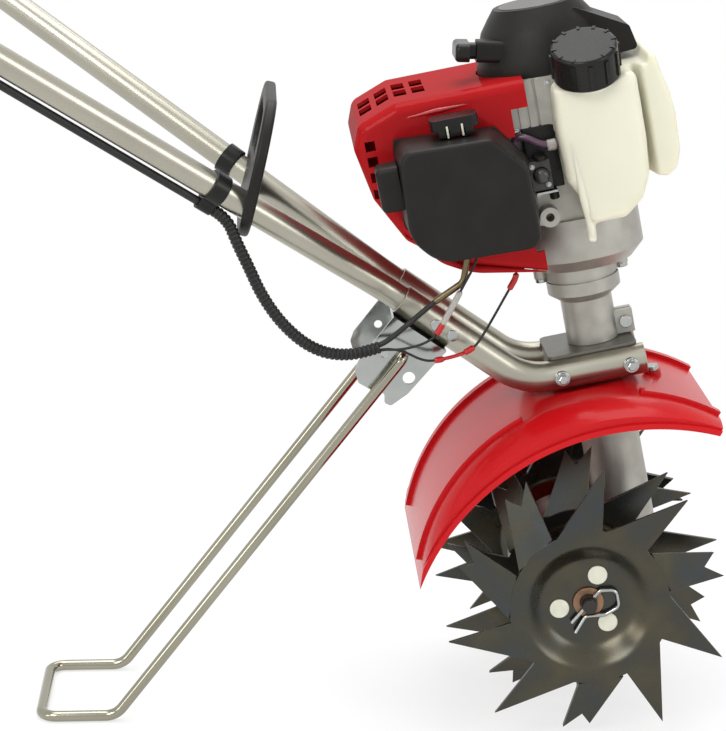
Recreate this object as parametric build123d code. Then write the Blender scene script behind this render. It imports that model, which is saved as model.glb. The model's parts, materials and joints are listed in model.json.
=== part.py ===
"""Mini tiller: a small petrol engine on a worm gearbox that drives four star tines.

Everything is drawn in the machine frame: the origin is the middle of the tine axle, +X is forward,
+Y is the machine's left and +Z runs up along the drive shaft.  At the end the whole machine is
leaned back on its kickstand and set down on the floor.
"""
import math
import os

from build123d import *

# Sizes are in millimetres and degrees.
# Stance
lean = 11.0  # the drive shaft leans back by this much when the stand is down

# Fits
running_gap = 0.05  # radial, between a shaft and what it turns in
seat_gap = 0.05  # radial, between pieces that stay together
moving_gap = 0.5  # between pieces that pass each other

# Worm drive
gear_module = 2.0
wheel_teeth = 34
worm_pitch_diameter = 20.0
tooth_thickness = 2.3  # at the pitch line; the rest of the pitch is backlash
pressure_angle = 20.0
worm_turns = 6
wheel_width = 14.0
wheel_hub_radius = 10.0
drive_shaft_radius = 6.0
axle_radius = 6.0
axle_half_length = 99.0
axle_tip_radius = 5.0
axle_tip_length = 6.0
bearing_outer_radius = 14.0
bearing_width = 8.0
seal_outer_radius = 11.0
seal_width = 4.0

# Gear housing
case_wall = 8.0
case_near = -25.0
cover_seat = 14.0  # Y of the joint between housing and cover
cover_plate = 6.0
cover_boss_end = 28.5
cover_boss_radius = 20.0
cover_screw_angles = (60.0, 120.0, 180.0, 240.0, 300.0)
cover_screw_radius = 2.0
column_radius = 21.0
column_foot_radius = 22.0
column_foot_height = 34.0
column_top = 116.0
throat_radius = 17.0
spigot_radius = 15.0
spigot_top = 190.0
shaft_bore_radius = 8.0

# Handle tubes
lower_tube_radius = 11.1
upper_tube_radius = 9.525
upper_tube_wall = 1.5
tube_spread = 57.0  # between the two lower tubes
tube_height = 150.5
tube_front = 76.0
tube_bend_x = -12.0
tube_bend_radius = 46.0
handle_angle = 45.5
lower_rise = 109.0  # sloped run of a lower tube
socket_depth = 60.0  # upper tube inside the lower tube
splay_angle = 16.0
splay_start = 12.0  # above the socket's end
splay_radius = 60.0
splay_run = 610.0
grip_angle = 12.0
grip_run = 200.0
grip_bend_radius = 55.0
grip_length = 130.0
grip_radius = 16.0
grip_end_wall = 5.0
bolt_xs = (14.0, 64.0)
bolt_radius = 3.0
bolt_head_radius = 5.5
bolt_head_height = 4.0
rivet_radius = 2.5
rivet_head_radius = 4.2
rivet_steps = (30.0, 44.0)  # below the socket's end

# Handle bracket plate
bracket_plate = 2.5
bracket_rear = 7.0
bracket_front = 72.0
bracket_half_width = 30.0

# Clutch housing and its neck
neck_radius = 18.7
neck_gap = 0.2  # between the bracket plate and the neck
bowl_bottom = 197.0
bowl_radius = 26.5
bowl_top = 223.0
bowl_wall = 3.5
clamp_ear_length = 12.0
clamp_ear_half_width = 6.5
clamp_ear_height = 17.0
clamp_slit = 2.0
clamp_screw_radius = 2.5
drum_radius = 20.0
drum_wall = 2.0
drum_bottom = 203.0
drum_height = 16.0
shoe_gap = 1.0
engine_bolt_radius = 2.5
engine_bolt_head_radius = 4.5

# Engine
case_round_radius = 40.0
case_round_top = 262.0
case_foot_stretch = 8.0  # the foot runs on this far to the front
case_foot_edge = 9.0
case_block_rear = 4.0
case_block_front = 71.0
case_block_half_width = 36.0
fan_ring_bottom = 335.0
fan_ring_top = 368.0
fan_ring_radius = 49.0
fan_ring_wall = 4.0
crank_pad_rear = 8.0
crank_pad_front = 43.0
crank_pad_near = -48.0
crank_pad_bottom = 329.0
crank_pad_top = 367.5
crank_pad_grooves = 4
crank_radius = 7.0
flywheel_radius = 42.0
flywheel_bottom = 341.0
flywheel_disc = 6.0
fan_blade_count = 16
fan_blade_height = 10.0
fan_blade_length = 13.0
fan_blade_thickness = 2.0
cylinder_height = 305.0
cylinder_end = -68.0
cylinder_radius = 21.0
fin_radius = 31.0
fin_count = 8
fin_thickness = 2.2
plug_radius = 5.0
plug_cap_radius = 8.0
plug_length = 12.0
plug_cap_length = 12.0

# Red engine cover
cover_half_width = 62.0
cover_wall = 2.5
cover_edge_round = 8.0
cover_front = 16.0
cover_top = 371.0
cover_top_front = 22.0
slot_count = 4
slot_width = 9.0
slot_pitch = 13.0
slot_length = 24.0
slot_gap = 6.0  # red bar between two slots
side_vent = 7.0

# Air cleaner
cleaner_back = -64.0
cleaner_base_thickness = 7.0
cleaner_front = -112.0
cleaner_wall = 2.5
cleaner_slope = 8.0  # the front face is set in by this much
cleaner_corner = 9.0
cleaner_top_rear = (-72.0, 355.0)
cleaner_top_front = (-4.0, 345.0)
filter_thickness = 22.0
latch_width = 33.0
latch_x = -31.0
latch_plate_base = 356.0
latch_top = 364.0

# Carburettor
primer_radius = 5.5
primer_x = 23.0
primer_z = 302.5
choke_x = 24.0
choke_y = -50.0

# Fuel tank
tank_lobe_proud = 25.0  # the near lobe stands this far outside the fan ring
tank_far = 34.0
tank_wall = 3.0
tank_lobe_depth = 33.0
tank_lobe_round = 5.5
tank_hump_round = 2.5
tank_hump_near = -46.0
cap_x = 65.5
cap_out = 13.0  # the filler's middle stands this far outside the fan ring
cap_base = 365.0
cap_tilt = 24.0
cap_radius = 23.0
cap_height = 24.0
cap_wall = 3.0
cap_ribs = 12
filler_radius = 17.5
filler_height = 12.0

# Recoil starter
dome_bottom = 368.0
dome_inset = 1.0  # the dome stands in from the fan ring's edge
dome_top_radius = 30.0
dome_top = 413.0
dome_wall = 3.0
rope_y = -24.0
rope_height = 391.0
rope_angle = 12.0
rope_guide_length = 22.0
rope_radius = 1.75
reel_post_radius = 5.0
reel_radius = 26.0
reel_height = 9.0
starter_grip_length = 34.0

# Fender
crown_centre = (25.0, -5.0)
crown_radius = 145.5
lip_centre = (35.7, -57.0)
lip_radius = 176.0
fender_half_width = 90.0
fender_sheet = 2.0
fender_bead = 4.0
saddle_height = 137.0
saddle_half_width = 45.0
fender_bolt_x = 82.0
fender_bolt_radius = 3.0
fender_bolt_head_radius = 5.4
fender_rib_half_width = 4.0
fender_rib_rise = 3.0

# Kickstand
stand_wire_radius = 4.0
stand_half_width = 50.0
stand_pivot_drop = 30.8  # below the tube's centre line, square to it
stand_pivot_step = 22.0  # below the socket's end, along the tube
stand_leg_angle = 221.0
stand_foot_length = 55.0
stand_sheet = 2.0
stand_ear_half_width = 44.0
stand_ear_corner = 2.5
stand_web_start = 0.5  # below the socket's end
stand_web_end = 46.0

# Tines
tine_tip_radius = 103.0
tine_root_radius = 57.0
tine_sheet = 3.0
tine_spikes = 10
tine_dish_depth = 16.0
tine_dish_outer = 46.0
tine_dish_inner = 33.0
tine_bend = 25.0
tine_bent_spikes = (0, 3, 6, 7)
tine_outer_face = 106.0
tine_inner_face = 56.0
hub_radius = 11.0
hub_flange_radius = 30.0
hub_flange = 3.0
hub_proud = 2.0
tine_rivet_circle = 21.0
tine_rivet_radius = 3.0
tine_rivet_head_radius = 7.0
tine_rivet_head = 1.6
clip_wire_radius = 1.3
clip_angle = 40.0  # the straight leg's slope through the axle
tine_outer_phase = -105.3

# Carry handle
carry_width = 165.0
carry_height = 98.5
carry_thickness = 8.0
carry_tilt = 24.0
carry_step = 118.0  # along the handle from where the tubes splay
carry_below = 24.5  # plate below the tube's centre
carry_corner = 44.0
carry_slot_width = 106.0
carry_slot_height = 36.0
carry_rail = 12.0

# Cables
conduit_radius = 4.3
conduit_groove_radius = 3.7
conduit_bore_radius = 3.2
conduit_rib_pitch = 3.2
sheath_radius = 3.0
sheath_in_conduit = 12.0  # the conduit's straight start; the sheath fills half of it
strap_step = 144.0  # along the handle from where the tubes splay
strap_width = 12.0
left_strap_step = 134.5
upper_strap_step = 400.0
strap_wall = 2.0
cable_radius = 1.9
wire_radius = 0.9
connector_radius = 2.2
elbow_radius = 2.4
elbow_x = -38.0
elbow_y = -67.5
elbow_top = 272.0
base_wire_x = -30.0  # where the first stop wire enters the air cleaner base
wire_end_x = -5.0  # where the second stop wire enters the engine cover
wire_end_y = -50.0

# Throttle control
housing_gap = 1.0  # between the grip and the throttle housing
housing_length = 40.0
housing_width = 27.0
housing_height = 43.0
housing_drop = 8.0
trigger_pin_radius = 2.5
trigger_pin_drop = 19.0
trigger_pin_step = 9.0
trigger_half_width = 5.0
trigger_boss_radius = 6.5
trigger_tip_step = 45.0  # from the handle's end

# Worked-out sizes
wheel_pitch_radius = gear_module * wheel_teeth / 2
shaft_x = wheel_pitch_radius + worm_pitch_diameter / 2
worm_lead = math.pi * gear_module
worm_half_length = worm_turns * worm_lead / 2
tooth_addendum = gear_module
tooth_dedendum = 1.2 * gear_module
wheel_tip_radius = wheel_pitch_radius + tooth_addendum
worm_tip_radius = worm_pitch_diameter / 2 + tooth_addendum
worm_root_radius = worm_pitch_diameter / 2 - tooth_dedendum
wheel_cavity_radius = wheel_tip_radius + 2.0
case_radius = wheel_cavity_radius + case_wall
cover_radius = case_radius
wheel_cavity_near = -wheel_width / 2 - 2.0
worm_bearing_start = worm_half_length + 3.0
worm_bearing_end = worm_bearing_start + bearing_width
case_bottom = -worm_bearing_end - 5.0
tube_y = tube_spread / 2
seat_half_width = tube_y - lower_tube_radius
rise_x = -math.cos(math.radians(handle_angle))
rise_z = math.sin(math.radians(handle_angle))
socket_x = tube_bend_x + lower_rise * rise_x
socket_z = tube_height + lower_rise * rise_z
bracket_bottom = tube_height + lower_tube_radius
neck_bottom = bracket_bottom + bracket_plate + neck_gap
tank_near = -fan_ring_radius - tank_lobe_proud
cap_y = -fan_ring_radius - cap_out
dome_radius = fan_ring_radius - dome_inset
rope_mouth_x = shaft_x - dome_radius
clip_y = tine_outer_face - tine_dish_depth + tine_sheet + hub_proud + clip_wire_radius + 0.3
tine_inner_phase = -90 - lean - 360 / tine_spikes  # a flat spike points straight down
cable_drop = upper_tube_radius + conduit_radius + 0.3  # from the tube's middle to the cable's
on_end = (Align.CENTER, Align.CENTER, Align.MIN)  # a shape that stands on its own origin


def post(radius, low, high, x=0.0, y=0.0):
    """An upright cylinder."""
    return Pos(x, y, low) * Cylinder(radius, high - low, align=on_end)


def bar(radius, near, far, x=0.0, z=0.0):
    """A cylinder along Y."""
    turn = Rot(-90, 0, 0)
    return Pos(x, near, z) * turn * Cylinder(radius, far - near, align=on_end)


def block(x_low, x_high, y_low, y_high, z_low, z_high):
    """A box between two corners."""
    middle = Pos((x_low + x_high) / 2, (y_low + y_high) / 2, (z_low + z_high) / 2)
    return middle * Box(x_high - x_low, y_high - y_low, z_high - z_low)


def side_solid(sketch, near, far):
    """A side-view outline in X and Z, made solid between two Y planes."""
    return extrude(Plane.XZ.offset(-far) * sketch, amount=far - near)


def outline(*points):
    """A closed outline through points."""
    return make_face(Polyline(*points, close=True))


def polar(radius, angle):
    """A point at a radius and an angle in degrees."""
    return (radius * math.cos(math.radians(angle)), radius * math.sin(math.radians(angle)))


def swept(section, path):
    """A section swept along a path that starts square to it."""
    return sweep(Plane(path @ 0, z_dir=path % 0) * section, path=path)


def ring(outer, inner, low, high, x=0.0, y=0.0):
    """An upright ring."""
    return post(outer, low, high, x, y) - post(inner, low - 1, high + 1, x, y)


def along(start, direction, distance):
    """A point at a distance from another."""
    return tuple(s + d * distance for s, d in zip(start, direction))


# Handle line: where the tubes run and how they splay
def handle_points(side):
    """Corner points of one handle tube's centre line above the socket, for side -1 or +1."""
    rise = (rise_x, 0.0, rise_z)
    socket = (socket_x, side * tube_y, socket_z)
    tilt = math.radians(splay_angle)
    spread = (rise_x * math.cos(tilt), side * math.sin(tilt), rise_z * math.cos(tilt))
    grip = (-math.cos(math.radians(grip_angle)), 0.0, math.sin(math.radians(grip_angle)))
    start = along(socket, rise, -socket_depth)
    kink = along(socket, rise, splay_start)
    knee = along(kink, spread, splay_run)
    end = along(knee, grip, grip_run)
    return start, kink, knee, end


def unit(start, end):
    """The direction from one point to another."""
    length = math.dist(start, end)
    return tuple((e - s) / length for s, e in zip(start, end))


# Worm drive
def wheel_outline(turn):
    """The worm wheel's toothed outline."""
    lean_in = math.tan(math.radians(pressure_angle))
    half = tooth_thickness / 2
    root = wheel_pitch_radius - tooth_dedendum
    half_root = math.degrees((half + tooth_dedendum * lean_in) / wheel_pitch_radius)
    half_tip = math.degrees((half - tooth_addendum * lean_in) / wheel_pitch_radius)
    points = []
    for tooth in range(wheel_teeth):
        middle = tooth * 360 / wheel_teeth + turn
        points.append(polar(root, middle - half_root))
        points.append(polar(wheel_tip_radius, middle - half_tip))
        points.append(polar(wheel_tip_radius, middle + half_tip))
        points.append(polar(root, middle + half_root))
    return outline(*points)


def make_worm_wheel():
    """A bronze wheel whose teeth lean with the worm's lead."""
    lead_slope = worm_lead / (math.pi * worm_pitch_diameter)
    twist = math.degrees(wheel_width / 2 * lead_slope / wheel_pitch_radius)
    near = Plane.XZ.offset(wheel_width / 2) * wheel_outline(twist)
    far = Plane.XZ.offset(-wheel_width / 2) * wheel_outline(-twist)
    rim = loft([near, far], ruled=True)
    hub = bar(wheel_hub_radius, wheel_cavity_near - 0.7, cover_seat + 0.7)
    return rim + hub - bar(axle_radius + seat_gap, -50, 50)


def make_worm_shaft():
    """The upright drive shaft with its single-start worm."""
    lean_in = math.tan(math.radians(pressure_angle))
    half = tooth_thickness / 2
    sink = 0.4
    half_root = half + (tooth_dedendum + sink) * lean_in
    half_tip = half - tooth_addendum * lean_in
    inner = worm_root_radius - sink
    thread_line = Helix(worm_lead, 2 * worm_half_length, worm_pitch_diameter / 2)
    section = outline(
        (inner, -half_root), (worm_tip_radius, -half_tip), (worm_tip_radius, half_tip), (inner, half_root)
    )
    thread = sweep(Plane.XZ * section, path=thread_line, is_frenet=True)
    core = post(worm_root_radius, -worm_half_length - 2.5, worm_half_length + 2.5)
    shaft = post(drive_shaft_radius, -worm_bearing_end, drum_bottom + drum_wall)
    return Pos(shaft_x, 0, 0) * (core + shaft + Pos(0, 0, -worm_half_length) * thread)


def make_bearings():
    """Two bearings on the drive shaft and two on the axle."""
    shaft_bore = drive_shaft_radius + running_gap
    axle_bore = axle_radius + running_gap
    low = ring(bearing_outer_radius, shaft_bore, -worm_bearing_end, -worm_bearing_start, shaft_x)
    high = ring(bearing_outer_radius, shaft_bore, worm_bearing_start, worm_bearing_end, shaft_x)
    pieces = [low, high]
    for start in (wheel_cavity_near - 1 - bearing_width, cover_seat + 1):
        pieces.append(bar(bearing_outer_radius, start, start + bearing_width) - bar(axle_bore, -60, 60))
    return pieces


def make_axle_seals():
    """A lip seal outside each axle bearing."""
    pieces = []
    hole = bar(axle_radius + running_gap, -60, 60)
    for start in (case_near + 0.5, cover_boss_end - 0.5 - seal_width):
        pieces.append(bar(seal_outer_radius, start, start + seal_width) - hole)
    return pieces


def make_gear_housing():
    """The cast housing: wheel case, upright column, tube seat and spigot."""
    case = bar(case_radius, case_near, cover_seat)
    foot = Plane.XY.offset(column_foot_height) * Circle(column_foot_radius)
    top = Plane.XY.offset(column_top) * Circle(column_radius)
    column = Pos(shaft_x, 0, 0) * loft([foot, top])
    column += post(column_foot_radius, case_bottom, column_foot_height, shaft_x)
    throat = post(throat_radius, column_top, saddle_height, shaft_x)
    half = seat_half_width
    seat = block(bracket_rear, bracket_front, -half, half, saddle_height, bracket_bottom)
    spigot = post(spigot_radius, bracket_bottom, spigot_top, shaft_x)
    lug = block(shaft_x + 10, fender_bolt_x + 4, -9, 9, column_top - 16, column_top + 6)
    housing = case + column + throat + seat + spigot + lug
    housing -= bar(wheel_cavity_radius, wheel_cavity_near, cover_seat + 1)
    housing -= bar(cover_radius + seat_gap, cover_seat, 60)
    housing -= post(worm_tip_radius + 1.4, -worm_bearing_start, worm_bearing_start, shaft_x)
    for low, high in ((-worm_bearing_end, -worm_bearing_start), (worm_bearing_start, worm_bearing_end)):
        housing -= post(bearing_outer_radius + seat_gap, low, high, shaft_x)
    housing -= post(shaft_bore_radius, 0, spigot_top + 1, shaft_x)
    bearing_start = wheel_cavity_near - 1 - bearing_width
    housing -= bar(bearing_outer_radius + seat_gap, bearing_start, wheel_cavity_near + 1)
    housing -= bar(axle_radius + moving_gap, case_near - 1, 0)
    housing -= bar(seal_outer_radius + seat_gap, case_near - 1, case_near + 0.5 + seal_width)
    for x in bolt_xs:
        housing -= bar(bolt_radius + seat_gap, -40, 40, x, tube_height)
    for screw in cover_screw_holes():
        housing -= screw
    housing -= post(fender_bolt_radius + seat_gap, 60, 160, fender_bolt_x)
    return housing


def cover_screw_places():
    """Centres of the gear cover's screws, in X and Z."""
    circle = cover_radius - 5
    return [polar(circle, angle) for angle in cover_screw_angles]


def cover_screw_holes():
    """Cutters for the gear cover's screws."""
    end = cover_seat + cover_plate
    hole = cover_screw_radius + seat_gap
    return [bar(hole, cover_seat - 7, end + 1, x, z) for x, z in cover_screw_places()]


def make_gear_cover():
    """The round cover on the left of the wheel case."""
    cover = bar(cover_radius, cover_seat, cover_seat + cover_plate)
    cover += bar(cover_boss_radius, cover_seat, cover_boss_end)
    cover -= bar(axle_radius + moving_gap, 0, 60)
    cover -= bar(bearing_outer_radius + seat_gap, cover_seat - 1, cover_seat + 1 + bearing_width)
    cover -= bar(seal_outer_radius + seat_gap, cover_boss_end - 0.5 - seal_width, 60)
    for screw in cover_screw_holes():
        cover -= screw
    return cover


def make_gear_screws():
    """Cap screws that hold the gear cover."""
    pieces = []
    end = cover_seat + cover_plate
    for x, z in cover_screw_places():
        head = bar(cover_screw_radius * 1.8, end, end + 3, x, z)
        pieces.append(head + bar(cover_screw_radius, cover_seat - 6, end, x, z))
    return pieces


# Axle and tines
def spike(tip_angle, bent):
    """One saw-tooth spike as a flat outline; a bent one has a forked tip."""
    lead = polar(tine_root_radius, tip_angle - 3)
    trail = polar(tine_root_radius, tip_angle + 30)
    heel = (polar(tine_root_radius - 8, tip_angle + 30), polar(tine_root_radius - 8, tip_angle - 3))
    if bent:
        fork = (
            polar(tine_tip_radius - 1, tip_angle - 4),
            polar(tine_tip_radius - 15, tip_angle + 3),
            polar(tine_tip_radius - 4, tip_angle + 7),
        )
        return outline(lead, *fork, trail)
    return outline(lead, polar(tine_tip_radius, tip_angle), trail, *heel)


def bent_spike(tip_angle, face, inward):
    """A forked spike folded towards the gearbox along its root."""
    lead = polar(tine_root_radius, tip_angle - 3)
    trail = polar(tine_root_radius, tip_angle + 30)
    inner = face + inward * tine_sheet
    flat = side_solid(spike(tip_angle, True), *sorted((face, inner)))
    fold_line = Axis((lead[0], inner, lead[1]), (trail[0] - lead[0], 0, trail[1] - lead[1]))
    return flat.rotate(fold_line, inward * tine_bend)


def make_tine(face, inward, phase):
    """A pressed star with a dished middle; face is its outer plane, inward points at the gearbox."""
    near, far = sorted((face, face + inward * tine_sheet))
    star = Circle(tine_root_radius)
    folded = []
    for number in range(tine_spikes):
        angle = phase + number * 360 / tine_spikes
        if number in tine_bent_spikes:
            folded.append(bent_spike(angle, face, inward))
        else:
            star += spike(angle, False)
    tine = side_solid(star - Circle(tine_dish_outer), near, far)
    depth = inward * tine_dish_depth
    step = inward * tine_sheet
    bore = hub_radius + seat_gap
    dish = outline(
        (tine_dish_outer + 0.5, face), (tine_dish_outer + 0.5, face + step),
        (tine_dish_outer - 2, face + step), (tine_dish_inner, face + depth), (bore, face + depth),
        (bore, face + depth - step), (tine_dish_inner + 1, face + depth - step), (tine_dish_outer - 1, face),
    )
    tine += revolve(dish, Axis.Y)
    for piece in folded:
        tine += piece
    for x, z in tine_rivet_places():
        tine -= bar(tine_rivet_radius + seat_gap, near - 30, far + 30, x, z)
    return tine


def tine_rivet_places():
    """Centres of a tine's three rivets, in X and Z."""
    return [polar(tine_rivet_circle, 62 + 120 * i) for i in range(3)]


def tine_stations():
    """Name, outer plane, inward direction and phase of each tine."""
    return (
        ("tine_outer_right", -tine_outer_face, 1, tine_outer_phase),
        ("tine_inner_right", -tine_inner_face, 1, tine_inner_phase),
        ("tine_inner_left", tine_inner_face, -1, tine_inner_phase),
        ("tine_outer_left", tine_outer_face, -1, tine_outer_phase),
    )


def make_tine_hubs():
    """A flanged hub behind each tine's dish."""
    pieces = []
    for name, face, inward, phase in tine_stations():
        seat = face + inward * tine_dish_depth
        tube_ends = sorted((seat - inward * (tine_sheet + hub_proud), seat + inward * hub_reach(face)))
        flange_ends = sorted((seat, seat + inward * hub_flange))
        hub = bar(hub_radius, *tube_ends) + bar(hub_flange_radius, *flange_ends)
        hub -= bar(axle_radius + seat_gap, -200, 200)
        for x, z in tine_rivet_places():
            hub -= bar(tine_rivet_radius + seat_gap, -200, 200, x, z)
        pieces.append(hub)
    return pieces


def hub_reach(face):
    """How far a hub runs towards the gearbox from its flange."""
    inner_end = tine_inner_face - tine_dish_depth + tine_sheet + hub_proud + 0.2
    if abs(face) > tine_inner_face:
        return abs(face) - tine_dish_depth - inner_end
    return abs(face) - tine_dish_depth - cover_boss_end - 1.0


def make_tine_rivets():
    """Three flat-headed rivets on each tine."""
    pieces = []
    for name, face, inward, phase in tine_stations():
        front = face + inward * (tine_dish_depth - tine_sheet)
        back = face + inward * (tine_dish_depth + hub_flange)
        for x, z in tine_rivet_places():
            shank = bar(tine_rivet_radius, *sorted((front, back)), x, z)
            head = bar(tine_rivet_head_radius, *sorted((front, front - inward * tine_rivet_head)), x, z)
            tail = bar(tine_rivet_head_radius - 2, *sorted((back, back + inward * 2)), x, z)
            pieces.append(shank + head + tail)
    return pieces


def make_clip(y):
    """A hairpin whose straight leg passes through the axle."""
    leg = polar(19, clip_angle + 180)
    shoulder = polar(12, clip_angle)
    points = [(leg[0], y, leg[1]), (shoulder[0], y, shoulder[1])]
    points += [(21, y, 6), (21, y, -7), (10, y, -11), (-4, y, -9.2), (-13, y, -20)]
    line = FilletPolyline(*points, radius=[4, 5, 5, 5, 4])
    return swept(Circle(clip_wire_radius), line)


def make_axle():
    """The tine axle, drilled at both ends for a hairpin."""
    reach = axle_half_length + axle_tip_length
    axle = bar(axle_radius, -axle_half_length, axle_half_length) + bar(axle_tip_radius, -reach, reach)
    for y in (-clip_y, clip_y):
        hole = Pos(0, y, 0) * Rot(0, 90 - clip_angle, 0) * Cylinder(clip_wire_radius + seat_gap, 40)
        axle -= hole
    return axle


# Clutch
def make_clutch_housing():
    """The bowl under the engine with its clamped neck."""
    cone_top = bowl_bottom + 6
    neck = Plane.XY.offset(bowl_bottom) * Circle(neck_radius)
    rim = Plane.XY.offset(cone_top) * Circle(bowl_radius)
    housing = Pos(shaft_x, 0, 0) * loft([neck, rim], ruled=True)
    housing += post(neck_radius, neck_bottom, bowl_bottom, shaft_x)
    housing += post(bowl_radius, cone_top, bowl_top, shaft_x)
    ear_rear = shaft_x + neck_radius - 4
    ear_front = shaft_x + neck_radius + clamp_ear_length
    ear_low = neck_bottom + 1
    ear_high = ear_low + clamp_ear_height
    housing += block(ear_rear, ear_front, -clamp_ear_half_width, clamp_ear_half_width, ear_low, ear_high)
    for x in engine_bolt_xs():
        housing += post(engine_bolt_radius * 2, bowl_top - 7, bowl_top, x)
    groove = ring(bowl_radius + 1, bowl_radius - 1.2, 212.5, 214.5, shaft_x)
    housing -= groove
    housing -= post(spigot_radius + seat_gap, neck_bottom - 1, spigot_top + 0.3, shaft_x)
    housing -= post(shaft_bore_radius, neck_bottom, bowl_top, shaft_x)
    housing -= post(bowl_radius - bowl_wall, drum_bottom - 1.5, bowl_top + 1, shaft_x)
    half_slit = clamp_slit / 2
    slit_rear = shaft_x + spigot_radius - 2
    housing -= block(slit_rear, ear_front + 1, -half_slit, half_slit, neck_bottom - 1, ear_high + 2)
    housing -= bar(clamp_screw_radius + seat_gap, -20, 20, clamp_screw_x(), clamp_screw_z())
    for x in engine_bolt_xs():
        housing -= post(engine_bolt_radius + seat_gap, bowl_top - 10, bowl_top + 1, x)
        housing -= post(engine_bolt_head_radius + 0.3, bowl_top - 12, bowl_top - 7, x)
    return housing


def engine_bolt_xs():
    """X of the two bolts that hold the engine on the clutch housing."""
    reach = bowl_radius + engine_bolt_radius * 1.2
    return (shaft_x - reach, shaft_x + reach)


def clamp_screw_x():
    """X of the neck's clamp screw."""
    return shaft_x + neck_radius + clamp_ear_length / 2


def clamp_screw_z():
    """Height of the neck's clamp screw."""
    return neck_bottom + 1 + clamp_ear_height / 2


def make_clutch_drum():
    """The cup that the shoes drive."""
    top = drum_bottom + drum_height
    drum = post(drum_radius, drum_bottom, top, shaft_x)
    drum -= post(drum_radius - drum_wall, drum_bottom + drum_wall, top + 1, shaft_x)
    return drum - post(drive_shaft_radius + seat_gap, drum_bottom - 1, top, shaft_x)


def make_clutch_shoes():
    """Two shoes on the end of the crankshaft."""
    outer = drum_radius - drum_wall - shoe_gap
    low = drum_bottom + drum_wall + 1.5
    whole = ring(outer, crank_radius + seat_gap, low, drum_bottom + drum_height - 1, shaft_x)
    whole -= block(shaft_x - 30, shaft_x + 30, -1.5, 1.5, low - 1, low + 40)
    return list(whole.solids())


# Engine
def make_crankshaft():
    """The crankshaft's straight run from clutch to flywheel."""
    low = drum_bottom + drum_wall + 1.0
    return post(crank_radius, low, flywheel_bottom + flywheel_disc + 8, shaft_x)


def make_flywheel():
    """Flywheel with straight fan blades."""
    wheel = post(flywheel_radius, flywheel_bottom, flywheel_bottom + flywheel_disc, shaft_x)
    wheel += post(crank_radius + 7, flywheel_bottom - 3, flywheel_bottom + flywheel_disc + 7, shaft_x)
    outer = flywheel_radius - 1.5
    blade = block(
        outer - fan_blade_length, outer, -fan_blade_thickness / 2, fan_blade_thickness / 2,
        flywheel_bottom + flywheel_disc, flywheel_bottom + flywheel_disc + fan_blade_height,
    )
    for number in range(fan_blade_count):
        wheel += Pos(shaft_x, 0, 0) * Rot(0, 0, number * 360 / fan_blade_count) * blade
    return wheel - post(crank_radius + seat_gap, 0, 500, shaft_x)


def make_crankcase():
    """Cast crankcase: rounded foot, square middle, ribbed side pad and the fan ring on top."""
    foot = SlotCenterToCenter(case_foot_stretch, 2 * case_round_radius)
    foot_place = Plane.XY.offset(bowl_top) * Pos(shaft_x + case_foot_stretch / 2, 0)
    case = extrude(foot_place * foot, amount=case_round_top - bowl_top)
    case = chamfer(case.edges().group_by(Axis.Z)[0], case_foot_edge)
    half = case_block_half_width
    case += block(case_block_rear, case_block_front, -half, half, case_round_top, fan_ring_bottom)
    case += make_crank_pad()
    case += post(fan_ring_radius, fan_ring_bottom - 6, fan_ring_top, shaft_x)
    case -= post(fan_ring_radius - fan_ring_wall, fan_ring_bottom, fan_ring_top + 1, shaft_x)
    case -= post(crank_radius + running_gap, bowl_top - 1, fan_ring_bottom + 1, shaft_x)
    for x in engine_bolt_xs():
        case -= post(engine_bolt_radius + seat_gap, bowl_top - 1, bowl_top + 9, x)
    return case


def make_crank_pad():
    """Cast pad with upright grooves on the right of the crankcase."""
    pad = block(crank_pad_rear, crank_pad_front, crank_pad_near, 0, crank_pad_bottom, crank_pad_top)
    step = (crank_pad_front - crank_pad_rear) / (crank_pad_grooves + 1)
    groove_floor = crank_pad_near + 1.5
    for number in range(crank_pad_grooves):
        x = crank_pad_rear + (number + 1) * step
        pad -= block(x - 1, x + 1, crank_pad_near - 1, groove_floor, crank_pad_bottom + 4, crank_pad_top + 1)
    return pad - post(fan_ring_radius - fan_ring_wall, fan_ring_bottom, crank_pad_top + 1, shaft_x)


def make_cylinder():
    """Finned cylinder that lies to the rear."""
    turn = Rot(0, 90, 0)
    start = case_block_rear - cylinder_end
    barrel = Cylinder(cylinder_radius, start, align=on_end)
    step = (start - 8) / fin_count
    for number in range(fin_count):
        fin = Cylinder(fin_radius, fin_thickness, align=on_end)
        barrel += Pos(0, 0, number * step) * fin
    barrel -= Pos(0, 0, -1) * Cylinder(plug_radius + seat_gap, 11, align=on_end)
    ring_room = post(fan_ring_radius + moving_gap, fan_ring_bottom - 6 - moving_gap, fan_ring_top, shaft_x)
    return Pos(cylinder_end, 0, cylinder_height) * turn * barrel - ring_room


def make_spark_plug():
    """Spark plug and its rubber cap, behind the cylinder head."""
    turn = Rot(0, -90, 0)
    plug = Cylinder(plug_radius, 9 + plug_length, align=on_end)
    cap = Pos(0, 0, 11) * Cylinder(plug_cap_radius, plug_cap_length, align=on_end)
    cap -= Cylinder(plug_radius + seat_gap, 9 + plug_length, align=on_end)
    place = Pos(cylinder_end + 9, 0, cylinder_height) * turn
    return [place * plug, place * cap]


def cover_outline():
    """Side outline of the red engine cover."""
    flat = outline(
        (cover_front, 233), (-47, 251), (-77, 275), (-94, 308), (-101, 345), (-95, 361),
        (-68, cover_top), (cover_top_front, cover_top), (cover_top_front, 336), (cover_front, 336),
    )
    corners = [v for v in flat.vertices() if v.X < cover_front - 5]
    return fillet(corners, 9)


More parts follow.
